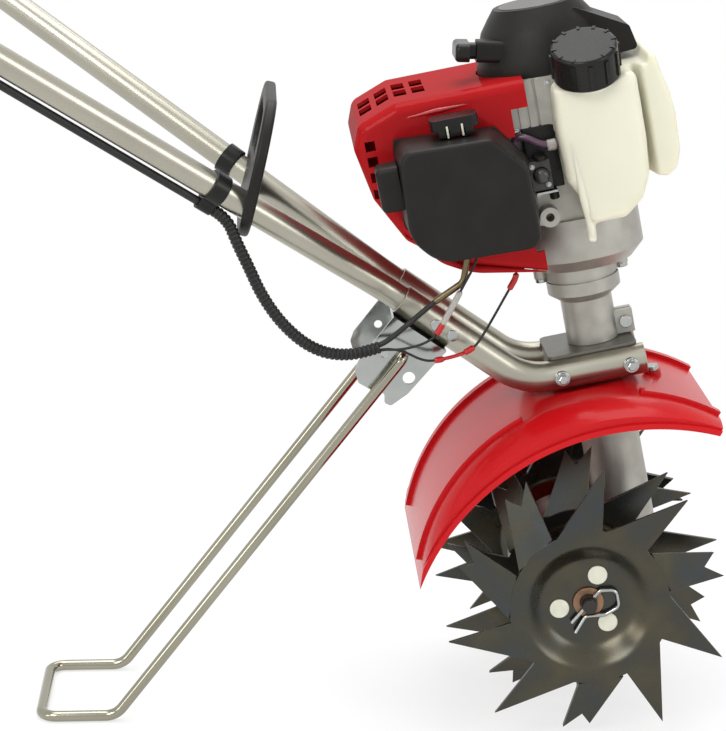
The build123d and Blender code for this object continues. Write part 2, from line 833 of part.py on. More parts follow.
def make_engine_cover():
    """Pressed and slotted cover over the cylinder."""
    flat = cover_outline()
    half = cover_half_width
    shell = side_solid(flat, -half, half)
    sides = [e for e in shell.edges() if abs(abs(e.center().Y) - half) < 0.01]
    shell = fillet([e for e in sides if e.center().X < cover_front], cover_edge_round)
    inner_half = half - cover_wall
    shell -= side_solid(offset(flat, -cover_wall), -inner_half, inner_half)
    shell -= block(cover_front - 4, 80, -inner_half, inner_half, 236, cover_top - cover_wall)
    shell -= block(0, 80, -inner_half, inner_half, 225, 300)
    shell -= block(-16, 60, -80, -30, 258, crank_pad_bottom + 4)
    shell -= block(crank_pad_rear + 2, 60, -80, -20, 250, cover_top - 19)
    shell -= post(case_round_radius + moving_gap, 200, case_round_top + 1, shaft_x)
    shell -= post(fan_ring_radius + moving_gap, 300, 420, shaft_x)
    pad_gap = moving_gap
    shell -= block(
        crank_pad_rear - pad_gap, crank_pad_front + pad_gap, crank_pad_near - pad_gap, 0,
        crank_pad_bottom - pad_gap, crank_pad_top + pad_gap,
    )
    shell -= post(wire_radius + seat_gap, 225, 250, wire_end_x, wire_end_y)
    for number in range(slot_count):
        x = -92 + number * slot_pitch
        for side in (-1, 1):
            near = side * slot_gap / 2
            shell -= block(x, x + slot_width, *sorted((near, near + side * slot_length)), 350, 400)
    for height in (346, 335, 324, 312):
        reach = side_vent / 2
        shell -= block(-93, -86, -70, -50, height - reach, height + reach)
    return shell


def make_muffler():
    """Pressed muffler box on the far side."""
    box = block(-60, 12, cover_half_width, 98, 268, 338)
    box = fillet(box.edges().filter_by(Axis.Y), 10)
    return box + bar(7, 98, 106, -44, 284)


def make_muffler_guard():
    """Slotted guard round the muffler."""
    guard = fillet(block(-66, 18, cover_half_width, 104, 262, 344).edges().filter_by(Axis.Y), 13)
    inside = block(-63.5, 15.5, cover_half_width - 1, 101.5, 264.5, 341.5)
    guard -= fillet(inside.edges().filter_by(Axis.Y), 11)
    guard -= bar(9, 95, 110, -44, 284)
    for number in range(5):
        guard -= block(-24 + 7.5 * number, -20.5 + 7.5 * number, 95, 110, 276, 330)
    return guard


# Air cleaner
def cleaner_outline():
    """Front outline of the air cleaner."""
    flat = outline(
        cleaner_top_rear, cleaner_top_front, (15, 319), (15.5, 272), (8, 261), (-60, 265), (-77, 288),
        (-75, 338),
    )
    return fillet(flat.vertices(), cleaner_corner)


def make_air_cleaner_base():
    """Back plate between the carburettor and the filter."""
    plate = side_solid(cleaner_outline(), cleaner_back - cleaner_base_thickness, cleaner_back)
    hole = bar(5.5, cleaner_back - 20, cleaner_back + 1, 4, 302)
    plate -= hole
    plate -= post(wire_radius + seat_gap, 240, elbow_top, base_wire_x, elbow_y)
    return plate - post(elbow_radius + seat_gap, 240, elbow_top, elbow_x, elbow_y)


def make_air_cleaner_cover():
    """Moulded cover in front of the filter, with a finger tab."""
    back = cleaner_back - cleaner_base_thickness - 0.3
    body = side_solid(cleaner_outline(), cleaner_front, back)
    front_rim = [e for e in body.edges() if abs(e.center().Y - cleaner_front) < 0.01]
    body = chamfer(front_rim, cleaner_slope)
    tab = fillet(outline((-90, 316), (-70, 312), (-70, 341), (-90, 339)).vertices(), 4)
    body += side_solid(tab, cleaner_front + 12, back)
    hollow = side_solid(offset(cleaner_outline(), -cleaner_wall), cleaner_front + cleaner_wall, back + 1)
    inner_rim = [e for e in hollow.edges() if abs(e.center().Y - cleaner_front - cleaner_wall) < 0.01]
    return body - chamfer(inner_rim, cleaner_slope - 2)


def make_air_filter():
    """Foam element inside the air cleaner."""
    back = cleaner_back - cleaner_base_thickness
    return side_solid(offset(cleaner_outline(), -cleaner_wall - 2), back - filter_thickness, back)


def cleaner_top(x):
    """Height of the air cleaner's sloping top."""
    run = cleaner_top_front[0] - cleaner_top_rear[0]
    fall = cleaner_top_front[1] - cleaner_top_rear[1]
    return cleaner_top_rear[1] + fall * (x - cleaner_top_rear[0]) / run


def make_latch():
    """Push latch on top of the air cleaner."""
    back = cleaner_back - cleaner_base_thickness
    plate = Pos(latch_x, back - 6) * RectangleRounded(latch_width, 22, 6)
    latch = extrude(Plane.XY.offset(latch_plate_base) * plate, amount=latch_top - latch_plate_base)
    for rear in (latch_x - 10, latch_x + 5):
        low = cleaner_top(rear) + moving_gap / 2
        latch += block(rear, rear + 5, back - 10, back + 4, low, latch_plate_base)
    return latch


# Carburettor
def make_carburettor():
    """Carburettor between the crankcase and the air cleaner."""
    wall = -case_block_half_width
    flange = block(case_block_rear, 27, wall - 6, wall, 286, 318)
    body = bar(8.5, cleaner_back, wall - 6, 8, 302)
    bowl = post(8, 274, 296, 10, -52)
    pump = block(14, 30, -60, wall - 6, 292, 313)
    nipple = post(2, 312, 320, 8, -52)
    boss = bar(7, -60, wall - 6, 24, 272) + block(17, 31, wall - 10, wall, 265, 290)
    pump -= bar(primer_radius + moving_gap, -61, -53, primer_x, primer_z)
    return flange + body + bowl + pump + nipple + boss - bar(3, -70, -44, 24, 272)


def make_primer_bulb():
    """Rubber primer bulb that is pressed into the carburettor's pump block."""
    bulb = bar(primer_radius, -66, -58, primer_x, primer_z)
    return fillet(bulb.edges().group_by(Axis.Y)[0], 4)


def make_choke_lever():
    """Choke lever on top of the carburettor's pump block."""
    boss = post(4.5, 313.3, 316.3, choke_x, choke_y)
    arm = block(choke_x - 3.5, choke_x + 3.5, choke_y - 16, choke_y, 313.3, 316.3)
    return boss + fillet(arm.edges().filter_by(Axis.Z), 2.5)


# Fuel
def cap_frame():
    """Place of the filler and its cap."""
    return Pos(cap_x, cap_y, cap_base) * Rot(cap_tilt, 0, 0)


def lobe_outline():
    """Side outline of the tank's near lobe."""
    flat = outline(
        (40, 364), (38, 334), (39, 296), (48, 281), (49, 264), (75, 264), (89, 275), (96, 291), (98, 317),
        (98, 364),
    )
    return fillet(flat.vertices(), 6)


def hump_outline():
    """Side outline of the tank's body in front of the crankcase."""
    flat = outline(
        (74, 300), (104, 286), (113, 284), (122, 289), (127, 301), (128, 326), (126, 342), (121, 358),
        (118, 371), (112, 372), (110, 365), (74, 365),
    )
    rounded = [v for v in flat.vertices() if v.X > 111]
    return fillet(rounded, 2.8)


def tank_body(flat, near, far, edge_round, shrink):
    """One of the tank's two bodies, drawn in by a wall."""
    if shrink:
        return side_solid(offset(flat, -shrink), near + shrink, far - shrink)
    solid = side_solid(flat, near, far)
    rims = [e for e in solid.edges() if min(abs(e.center().Y - near), abs(e.center().Y - far)) < 0.01]
    return fillet(rims, edge_round)


def tank_block(shrink):
    """The tank's outer shape, drawn in by a wall."""
    solid = tank_body(lobe_outline(), tank_near, tank_far, tank_lobe_round, shrink)
    solid += tank_body(hump_outline(), tank_hump_near, tank_far, tank_hump_round, shrink)
    step = tank_near + tank_lobe_depth - shrink
    grow = 0.3 + shrink
    solid -= block(0, case_block_front + grow, step, 80, 200, 420)
    solid -= post(fan_ring_radius + grow, fan_ring_bottom - 6 - grow, 420, shaft_x)
    foot = SlotCenterToCenter(case_foot_stretch, 2 * (case_round_radius + grow))
    foot_place = Plane.XY.offset(200) * Pos(shaft_x + case_foot_stretch / 2, 0)
    solid -= extrude(foot_place * foot, amount=case_round_top + grow - 200)
    low = crank_pad_bottom - grow
    return solid - block(0, crank_pad_front + grow, crank_pad_near - grow, 0, low, crank_pad_top + grow)


def make_fuel_tank():
    """Blow-moulded tank that wraps the crankcase."""
    tank = tank_block(0)
    tank -= cap_frame() * Cylinder(cap_radius + 3, 60, align=on_end)
    neck_foot = cap_frame() * Pos(0, 0, -tank_wall)
    tank += neck_foot * Cylinder(filler_radius, tank_wall + filler_height, align=on_end)
    tab = fillet(outline((47, 250), (53, 250), (54, 272), (47, 272)).vertices(), 2)
    tank += side_solid(tab, tank_near + 6, tank_near + 12)
    tank -= tank_block(tank_wall) - neck_foot * Cylinder(cap_radius + 6, 60, align=on_end)
    return tank - neck_foot * Pos(0, 0, -1) * Cylinder(filler_radius - tank_wall, 60, align=on_end)


def make_fuel_cap():
    """Ribbed screw cap."""
    cap = fillet(Cylinder(cap_radius, cap_height, align=on_end).edges().group_by(Axis.Z)[-1], 2.5)
    cap -= Cylinder(filler_radius + 0.6, cap_height - cap_wall, align=on_end)
    rib = Pos(cap_radius, 0, 2) * Box(2.4, 3.2, cap_height - 6, align=on_end)
    for number in range(cap_ribs):
        cap += Rot(0, 0, number * 360 / cap_ribs) * rib
    return cap_frame() * Pos(0, 0, 1.5) * cap


def make_fuel_line():
    """Short hose from tank to carburettor."""
    line = FilletPolyline(
        (37.8, -58, 322), (28, -58, 322), (16, -55, 331), (8, -52, 330), (8, -52, 320.2), radius=[10, 9, 5]
    )
    return swept(Circle(2.6), line)


# Recoil starter
def rope_direction():
    """The way the starter grip is pulled."""
    return (-math.cos(math.radians(rope_angle)), 0.0, math.sin(math.radians(rope_angle)))


def rope_frame():
    """Place of the rope guide's mouth, with Z along the pull."""
    return Plane(origin=(rope_mouth_x, rope_y, rope_height), x_dir=(0, 1, 0), z_dir=rope_direction())


def dome_solid(shrink):
    """The dome's turned shape, drawn in by a wall."""
    low = dome_bottom - shrink
    steps = ((0, dome_bottom + 7), (3, 386), (7, 398), (13, 406.5), (dome_radius - dome_top_radius, dome_top))
    with_wall = [(dome_radius - shrink, low)]
    with_wall += [(dome_radius - inset - shrink, z - shrink) for inset, z in steps]
    section = outline((0, low), *with_wall, (0, dome_top - shrink))
    return Pos(shaft_x, 0, 0) * revolve(Plane.XZ * section, Axis.Z)


def make_recoil_cover():
    """Domed starter cover with its rope guide and side wing."""
    cover = dome_solid(0)
    wing = outline((70, dome_bottom), (108, dome_bottom + 3), (104, 388), (64, dome_top - 3))
    cover += side_solid(fillet(wing.vertices(), 3), -26, 24)
    cover += extrude(rope_frame() * RectangleRounded(17, 15, 3), amount=-rope_guide_length)
    cover -= dome_solid(dome_wall)
    cover += post(reel_post_radius, dome_bottom + 3, dome_top - 1, shaft_x)
    cover -= extrude(rope_frame() * Circle(rope_radius + 1), amount=-rope_guide_length - 8)
    return cover - cap_frame() * Cylinder(cap_radius + 4, 60, align=on_end)


def make_recoil_reel():
    """Rope reel that turns on the dome's post."""
    low = dome_bottom + 4
    reel = post(reel_radius, low, low + reel_height, shaft_x)
    reel -= ring(reel_radius + 1, reel_radius - 4, low + 2.5, low + reel_height - 2.5, shaft_x)
    return reel - post(reel_post_radius + running_gap, low - 1, low + 30, shaft_x)


def make_starter_grip():
    """T-shaped pull grip."""
    frame = rope_frame()
    stem = extrude(frame.offset(0.4) * RectangleRounded(12, 11, 3), amount=9)
    cross = extrude(frame.offset(5.4) * RectangleRounded(starter_grip_length, 13, 5), amount=10)
    grip = stem + fillet(cross.edges().group_by(Axis(frame.origin, frame.z_dir))[-1], 3)
    return grip - extrude(frame.offset(-10) * Circle(rope_radius + seat_gap), amount=22)


def make_starter_rope():
    """Rope from the guide into the grip."""
    return extrude(rope_frame().offset(-14) * Circle(rope_radius), amount=25)


# Fender
def make_fender():
    """Arched fender: crown sheet, side walls that taper to the tips, rolled lips and a flat saddle."""
    crown = Pos(*crown_centre) * Circle(crown_radius)
    lip = Pos(*lip_centre) * Circle(lip_radius)
    arch = crown - lip
    half = fender_half_width
    body = side_solid(arch, -half, half)
    body -= block(-60, 110, -saddle_half_width, saddle_half_width, saddle_height, 200)
    inner = side_solid(
        Pos(*crown_centre) * Circle(crown_radius - fender_sheet), -half + fender_sheet, half - fender_sheet
    )
    under = saddle_height - fender_sheet
    inner -= block(-60, 110, -saddle_half_width - 2, saddle_half_width + 2, under, 200)
    body -= inner
    band = (Pos(*lip_centre) * (Circle(lip_radius + fender_bead) - Circle(lip_radius))) & crown
    for near in (-half - 3, half):
        body += side_solid(band, near, near + 3)
    for y in (-62, 62):
        rib = Pos(*crown_centre) * (Circle(crown_radius + fender_rib_rise) - Circle(crown_radius - 1))
        strip = side_solid(rib, y - fender_rib_half_width, y + fender_rib_half_width)
        rear = side_solid(outline((25, -5), (-150, 60), (-150, 190), (-40, 190)), y - 9, y + 9)
        front = side_solid(outline((25, -5), (190, 130), (190, 190), (80, 190)), y - 9, y + 9)
        body += strip & rear
        body += strip & front
    body += post(fender_bolt_head_radius + 1.5, fender_bolt_seat() - 5, fender_bolt_seat(), fender_bolt_x)
    body -= post(throat_radius + moving_gap, 60, 200, shaft_x)
    return body - post(fender_bolt_radius + seat_gap, 60, 200, fender_bolt_x)


def fender_bolt_seat():
    """Height of the flat boss under the fender bolt's head."""
    across = fender_bolt_x - crown_centre[0]
    return crown_centre[1] + math.sqrt(crown_radius ** 2 - across ** 2) + 2.6


# Kickstand
def tube_point(step, drop):
    """A point below the socket's end, by its distance along and below the tube, in X and Z."""
    down_x = -rise_z
    down_z = rise_x
    return (socket_x - step * rise_x + drop * down_x, socket_z - step * rise_z + drop * down_z)


def stand_pivot():
    """The kickstand's pivot, in X and Z."""
    return tube_point(stand_pivot_step, stand_pivot_drop)


def axle_height():
    """Height of the axle above the floor."""
    return tine_tip_radius


def make_kickstand():
    """One bent wire: two legs, two feet and the bar between them."""
    tilt = math.radians(lean)
    leg = polar(1, stand_leg_angle)
    pivot = stand_pivot()
    pivot_height = pivot[0] * math.sin(tilt) + pivot[1] * math.cos(tilt)
    drop = leg[0] * math.sin(tilt) + leg[1] * math.cos(tilt)
    length = (stand_wire_radius - axle_height() - pivot_height) / drop
    heel = (pivot[0] + leg[0] * length, pivot[1] + leg[1] * length)
    toe = (heel[0] - stand_foot_length * math.cos(tilt), heel[1] + stand_foot_length * math.sin(tilt))
    points = []
    for side in (-1, 1):
        y = side * stand_half_width
        one = [(pivot[0], side * (stand_ear_half_width - 7), pivot[1]), (pivot[0], y, pivot[1])]
        one += [(heel[0], y, heel[1]), (toe[0], y, toe[1])]
        points += one if side < 0 else one[::-1]
    line = FilletPolyline(*points, radius=[5, 16, 12, 12, 16, 5])
    return swept(Circle(stand_wire_radius), line)


def make_stand_bracket():
    """Folded sheet under the lower tubes with an ear on each side."""
    top = lower_tube_radius + seat_gap
    ear_points = [
        (stand_web_end, top), (stand_web_start, top), (-1, 36), (-2, 52), (0, 59), (7, 65),
        (20, 64), (27, 61), (31, 67), (36, 66), (41, 52), (44, 26),
    ]
    flat = outline(*[tube_point(step, drop) for step, drop in ear_points])
    flat = fillet(flat.vertices(), stand_ear_corner)
    flat -= Pos(*stand_pivot()) * Circle(stand_wire_radius + running_gap)
    flat -= Pos(*tube_point(10, 37)) * Circle(3)
    flat -= Pos(*tube_point(35, 42)) * Circle(4.5)
    half = stand_ear_half_width
    below = lower_tube_radius + stand_sheet
    web = [tube_point(stand_web_end, top), tube_point(stand_web_start, top)]
    web += [tube_point(stand_web_start, below), tube_point(stand_web_end, below)]
    bracket = side_solid(outline(*web), -half, half)
    for near in (-half, half - stand_sheet):
        bracket += side_solid(flat, near, near + stand_sheet)
    return bracket


# Handles
def make_lower_handle(side):
    """Lower tube: flat run beside the gearbox, then up to the socket."""
    y = side * tube_y
    points = [(tube_front, y, tube_height), (tube_bend_x, y, tube_height), (socket_x, y, socket_z)]
    line = FilletPolyline(*points, radius=[tube_bend_radius])
    bore = upper_tube_radius + seat_gap
    tube = swept(Circle(lower_tube_radius) - Circle(bore), line)
    for x in bolt_xs:
        tube -= bar(bolt_radius + seat_gap, -60, 60, x, tube_height)
    for step in rivet_steps:
        x, z = tube_point(step, 0)
        tube -= bar(rivet_radius + seat_gap, y - 30, y + 30, x, z)
    return tube


def make_upper_handle(side):
    """Upper tube: socket end, splayed run and grip end."""
    start, kink, knee, end = handle_points(side)
    line = FilletPolyline(start, kink, knee, end, radius=[splay_radius, grip_bend_radius])
    tube = swept(Circle(upper_tube_radius) - Circle(upper_tube_radius - upper_tube_wall), line)
    y = side * tube_y
    for step in rivet_steps:
        x, z = tube_point(step, 0)
        tube -= bar(rivet_radius + seat_gap, y - 30, y + 30, x, z)
    return tube


def handle_envelope(side, gap):
    """The space that one upper tube fills, grown by a gap."""
    start, kink, knee, end = handle_points(side)
    line = FilletPolyline(start, kink, knee, end, radius=[splay_radius, grip_bend_radius])
    return swept(Circle(upper_tube_radius + gap), line)


def grip_frame(side):
    """Frame at the end of a handle, with Z back along the tube."""
    start, kink, knee, end = handle_points(side)
    return Plane(origin=end, x_dir=(0, 1, 0), z_dir=unit(end, knee))


def make_grip(side):
    """Foam grip with a closed end."""
    frame = grip_frame(side)
    body = extrude(frame.offset(-grip_end_wall) * Circle(grip_radius), amount=grip_length + grip_end_wall)
    ends = body.edges().filter_by(GeomType.CIRCLE)
    body = fillet(ends, 4)
    return body - extrude(frame.offset(0) * Circle(upper_tube_radius + seat_gap), amount=grip_length + 1)


def make_handle_bracket():
    """Flat plate on top of the tubes, round the neck."""
    half = bracket_half_width
    plate = block(bracket_rear, bracket_front, -half, half, bracket_bottom, bracket_bottom + bracket_plate)
    plate = fillet(plate.edges().filter_by(Axis.Z), 5)
    return plate - post(spigot_radius + seat_gap, 100, 220, shaft_x)


def make_fasteners():
    """Handle bolts, rivets, clamp screw, engine bolts, gear cover screws and the fender bolt."""
    pieces = make_gear_screws()
    reach = tube_y + lower_tube_radius
    for x in bolt_xs:
        bolt = bar(bolt_radius, -reach, reach, x, tube_height)
        bolt += bar(bolt_head_radius, -reach - bolt_head_height, -reach, x, tube_height)
        bolt += bar(bolt_head_radius, reach, reach + bolt_head_height, x, tube_height)
        pieces.append(bolt)
    for side in (-1, 1):
        y = side * tube_y
        for step in rivet_steps:
            x, z = tube_point(step, 0)
            rivet = bar(rivet_radius, y - lower_tube_radius, y + lower_tube_radius, x, z)
            for near in (y - lower_tube_radius - 1.2, y + lower_tube_radius):
                rivet += bar(rivet_head_radius, near, near + 1.2, x, z)
            pieces.append(rivet)
    half = clamp_ear_half_width
    screw = bar(clamp_screw_radius, -half, half, clamp_screw_x(), clamp_screw_z())
    screw += bar(clamp_screw_radius * 1.8, -half - 3, -half, clamp_screw_x(), clamp_screw_z())
    pieces.append(screw)
    for x in engine_bolt_xs():
        bolt = post(engine_bolt_radius, bowl_top - 7, bowl_top + 8, x)
        pieces.append(bolt + post(engine_bolt_head_radius, bowl_top - 10, bowl_top - 7, x))
    seat = fender_bolt_seat()
    bolt = post(fender_bolt_radius, column_top - 14, seat, fender_bolt_x)
    pieces.append(bolt + post(fender_bolt_head_radius, seat, seat + 4, fender_bolt_x))
    return pieces


def carry_frame():
    """Plane of the carry handle: X across the machine, Y up the plate."""
    tilt = math.radians(carry_tilt)
    origin_x = socket_x + (splay_start + carry_step) * rise_x
    origin_z = socket_z + (splay_start + carry_step) * rise_z
    return Plane(origin=(origin_x, 0, origin_z), x_dir=(0, 1, 0), z_dir=(math.cos(tilt), 0, -math.sin(tilt)))


def make_carry_handle():
    """Moulded loop that ties the tubes and lifts the machine."""
    frame = carry_frame()
    middle = carry_height / 2 - carry_below
    sheet = Pos(0, middle) * RectangleRounded(carry_width, carry_height, carry_corner)
    slot_y = carry_height - carry_below - carry_rail - carry_slot_height / 2
    sheet -= Pos(0, slot_y) * RectangleRounded(carry_slot_width, carry_slot_height, carry_slot_height / 2 - 1)
    plate = extrude(frame.offset(-carry_thickness / 2) * sheet, amount=carry_thickness)
    half = carry_thickness / 2
    rims = [e for e in plate.edges() if abs(abs(frame.to_local_coords(e.center()).Z) - half) < 0.01]
    plate = fillet(rims, 2.5)
    for side in (-1, 1):
        plate -= handle_envelope(side, seat_gap)
    return plate


# Throttle control on the right handle
def make_throttle_housing():
    """Clamped housing in front of the right grip."""
    frame = grip_frame(-1)
    start = grip_length + housing_gap
    section = Pos(0, -housing_drop) * RectangleRounded(housing_width, housing_height, 8)
    body = extrude(frame.offset(start) * section, amount=housing_length)
    body -= extrude(frame.offset(start - 1) * Circle(upper_tube_radius + seat_gap), amount=housing_length + 2)
    slot_top = -trigger_pin_drop + trigger_boss_radius + moving_gap
    slot = Pos(0, slot_top - 20) * Rectangle(2 * (trigger_half_width + moving_gap), 40)
    body -= extrude(frame.offset(start - 1) * slot, amount=trigger_pin_step + trigger_boss_radius + 2)
    return body - throttle_pin(running_gap)


def throttle_pin(gap):
    """The trigger's pivot pin, grown by a gap."""
    frame = grip_frame(-1)
    half = housing_width / 2 - 0.5 + gap
    step = grip_length + housing_gap + trigger_pin_step
    middle = frame.from_local_coords((0, -trigger_pin_drop, step))
    return Pos(middle) * Rot(90, 0, 0) * Cylinder(trigger_pin_radius + gap, 2 * half)


def make_throttle_trigger():
    """Lever under the right grip, on its pin."""
    frame = grip_frame(-1)
    pin_step = grip_length + housing_gap + trigger_pin_step
    neck_top = -grip_radius - 2.5
    tip_top = -grip_radius - 19.5
    flat = outline(
        (-neck_top, grip_length), (-tip_top, trigger_tip_step), (7 - tip_top, trigger_tip_step + 3),
        (7.5 - neck_top, grip_length + 4), (trigger_pin_drop + 4, pin_step), (trigger_pin_drop - 4, pin_step),
    )
    flat = fillet(flat.vertices(), 2) + Pos(trigger_pin_drop, pin_step) * Circle(trigger_boss_radius)
    side = Plane(
        origin=frame.from_local_coords((trigger_half_width, 0, 0)), x_dir=-frame.y_dir, z_dir=(0, -1, 0)
    )
    return extrude(side * flat, amount=2 * trigger_half_width) + throttle_pin(0)


def make_stop_switch():
    """Slide switch on the inner side of the throttle housing."""
    frame = grip_frame(-1)
    place = frame.from_local_coords((housing_width / 2 + 0.3, -6, grip_length + 22))
    base = Plane(origin=place, x_dir=frame.z_dir, z_dir=(0, 1, 0))
    return fillet(extrude(base * RectangleRounded(9, 7, 2), amount=4).edges().group_by(Axis.Y)[-1], 1)


# Cables
def conduit_points():
    """Route of the ribbed loop, from the strap to its open end."""
    start, kink, knee, end = handle_points(-1)
    direction = unit(kink, knee)
    top = cable_point(strap_step)
    return [
        top, along(top, direction, -sheath_in_conduit), (-192.5, -68.5, 300), (-188, -69, 282),
        (-183.5, -69, 261), (-175, -69, 240), (-163, -68, 222), (-150, -67, 211), (-137, -66, 206),
        (-124, -65.5, 204.5), (-110, -65, 206),
    ]


def cable_point(step):
    """A point on the cable under the right upper tube, by its distance along the tube from the splay."""
    start, kink, knee, end = handle_points(-1)
    down = (-rise_z, 0.0, rise_x)
    return along(along(kink, unit(kink, knee), step), down, cable_drop)


def round_radii(points):
    """The largest arc that each corner's two runs allow."""
    radii = []
    for before, corner, after in zip(points, points[1:], points[2:]):
        first = Vector(*corner) - Vector(*before)
        second = Vector(*after) - Vector(*corner)
        turn = math.radians(first.get_angle(second))
        radii.append(0.45 * min(first.length, second.length) / math.tan(turn / 2))
    return radii


def cord_line(points):
    """Straight runs joined by arcs as large as the runs allow."""
    return FilletPolyline(*points, radius=round_radii(points))


def make_cable_conduit():
    """Ribbed conduit: a ruled loft through four circles a rib, with its bore."""
    line = cord_line(conduit_points())
    ribs = int((line.length - 4 * conduit_radius) / conduit_rib_pitch)
    lead = (line.length - ribs * conduit_rib_pitch) / 2
    steps = [(0.0, conduit_groove_radius)]
    for number in range(ribs):
        start = lead + number * conduit_rib_pitch
        steps.append((start, conduit_groove_radius))
        steps.append((start + 0.2 * conduit_rib_pitch, conduit_radius))
        steps.append((start + 0.6 * conduit_rib_pitch, conduit_radius))
        steps.append((start + 0.8 * conduit_rib_pitch, conduit_groove_radius))
    steps.append((line.length, conduit_groove_radius))
    circles = []
    for distance, radius in steps:
        place = distance / line.length
        circles.append(Plane(line @ place, x_dir=(0, 1, 0), z_dir=line % place) * Circle(radius))
    tube = loft(circles, ruled=True)
    return tube - swept(Circle(conduit_bore_radius), line)


def make_cable_sheath():
    """Plain cable sheath under the right tube, from the throttle housing into the conduit."""
    start, kink, knee, end = handle_points(-1)
    frame = grip_frame(-1)
    below = -frame.y_dir
    run = Vector(*unit(kink, knee))
    down = Vector(-rise_z, 0, rise_x)
    slide = cable_drop * (1 - down.dot(below)) / run.dot(below)
    corner = cable_point(splay_run + slide)
    housing_end = grip_length + housing_gap + housing_length + 0.3
    top = along(corner, frame.z_dir, housing_end - frame.to_local_coords(Vector(*corner)).Z)
    low = cable_point(strap_step - sheath_in_conduit / 2)
    line = FilletPolyline(top, corner, low, radius=[grip_bend_radius - cable_drop])
    return swept(Circle(sheath_radius), line)


def make_cable_straps():
    """Straps that hold the sheath on the right tube, and one on the left tube."""
    pieces = []
    lower_step = strap_step + 1
    for side, steps in ((-1, (lower_step, upper_strap_step)), (1, (left_strap_step,))):
        start, kink, knee, end = handle_points(side)
        direction = unit(kink, knee)
        for step in steps:
            frame = Plane(origin=along(kink, direction, step), x_dir=(0, 1, 0), z_dir=direction)
            band = Circle(upper_tube_radius + strap_wall)
            if side < 0:
                band += Pos(0, cable_drop) * Circle(sheath_radius + strap_wall)
                band += Pos(0, cable_drop / 2) * Rectangle(2 * (sheath_radius + strap_wall), cable_drop)
                band -= Pos(0, cable_drop) * Circle(sheath_radius + seat_gap)
            band -= Circle(upper_tube_radius + seat_gap)
            pieces.append(extrude(frame * band, amount=strap_width))
    return pieces


def make_throttle_cable():
    """Cable from the conduit's open end to the elbow under the air cleaner."""
    points = [
        (-120, -65.3, 206.0), (-109, -64.9, 207.1), (-98, -64.6, 212), (-84, -64.5, 220),
        (-73, -64.7, 226.3), (-66, -65, 230.3),
    ]
    return swept(Circle(cable_radius), cord_line(points))


def make_cable_elbow():
    """Brass guide tube bent up into the air cleaner base."""
    points = [(-65.7, -65.03, 230.47), (-44, -67.3, 240.6), (elbow_x, elbow_y, 258)]
    points.append((elbow_x, elbow_y, elbow_top - 1))
    line = FilletPolyline(*points, radius=[9, 12])
    return swept(Circle(elbow_radius), line)


def connector(start, end, first, last):
    """A sleeve on the straight run between two points, from one share of the run to another."""
    run = unit(start, end)
    length = math.dist(start, end)
    place = Plane(origin=along(start, run, first * length), z_dir=run)
    return extrude(place * Circle(connector_radius), amount=(last - first) * length)


def make_stop_wires():
    """Two stop wires with their connectors."""
    first = [
        (-120, -66.4, 203.3), (-109, -66.0, 204.35), (-98, -67.3, 202), (-87, -68.2, 202), (-78, -69, 203.5),
        (-70, -70, 207), (-58, -71, 222), (-44, -71.8, 240), (-34, -70.5, 252), (base_wire_x, elbow_y, 260),
        (base_wire_x, elbow_y, elbow_top - 1),
    ]
    second = [
        (-120, -64.3, 203.3), (-109, -63.8, 204.3), (-98, -62.8, 201), (-91, -62, 196.5), (-84, -61, 190.5),
        (-75, -60, 186.6), (-47, -57.3, 187.5), (-35, -55, 199), (-12, -51, 226),
        (wire_end_x, wire_end_y, 234), (wire_end_x, wire_end_y, 241),
    ]
    one = swept(Circle(wire_radius), cord_line(first)) + connector(first[6], first[7], 0.05, 0.75)
    two = swept(Circle(wire_radius), cord_line(second)) + connector(second[5], second[6], 0.2, 0.45)
    two += connector(second[5], second[6], 0.6, 0.8)
    two += connector(second[7], second[8], 0.45, 0.8)
    return [one, two]


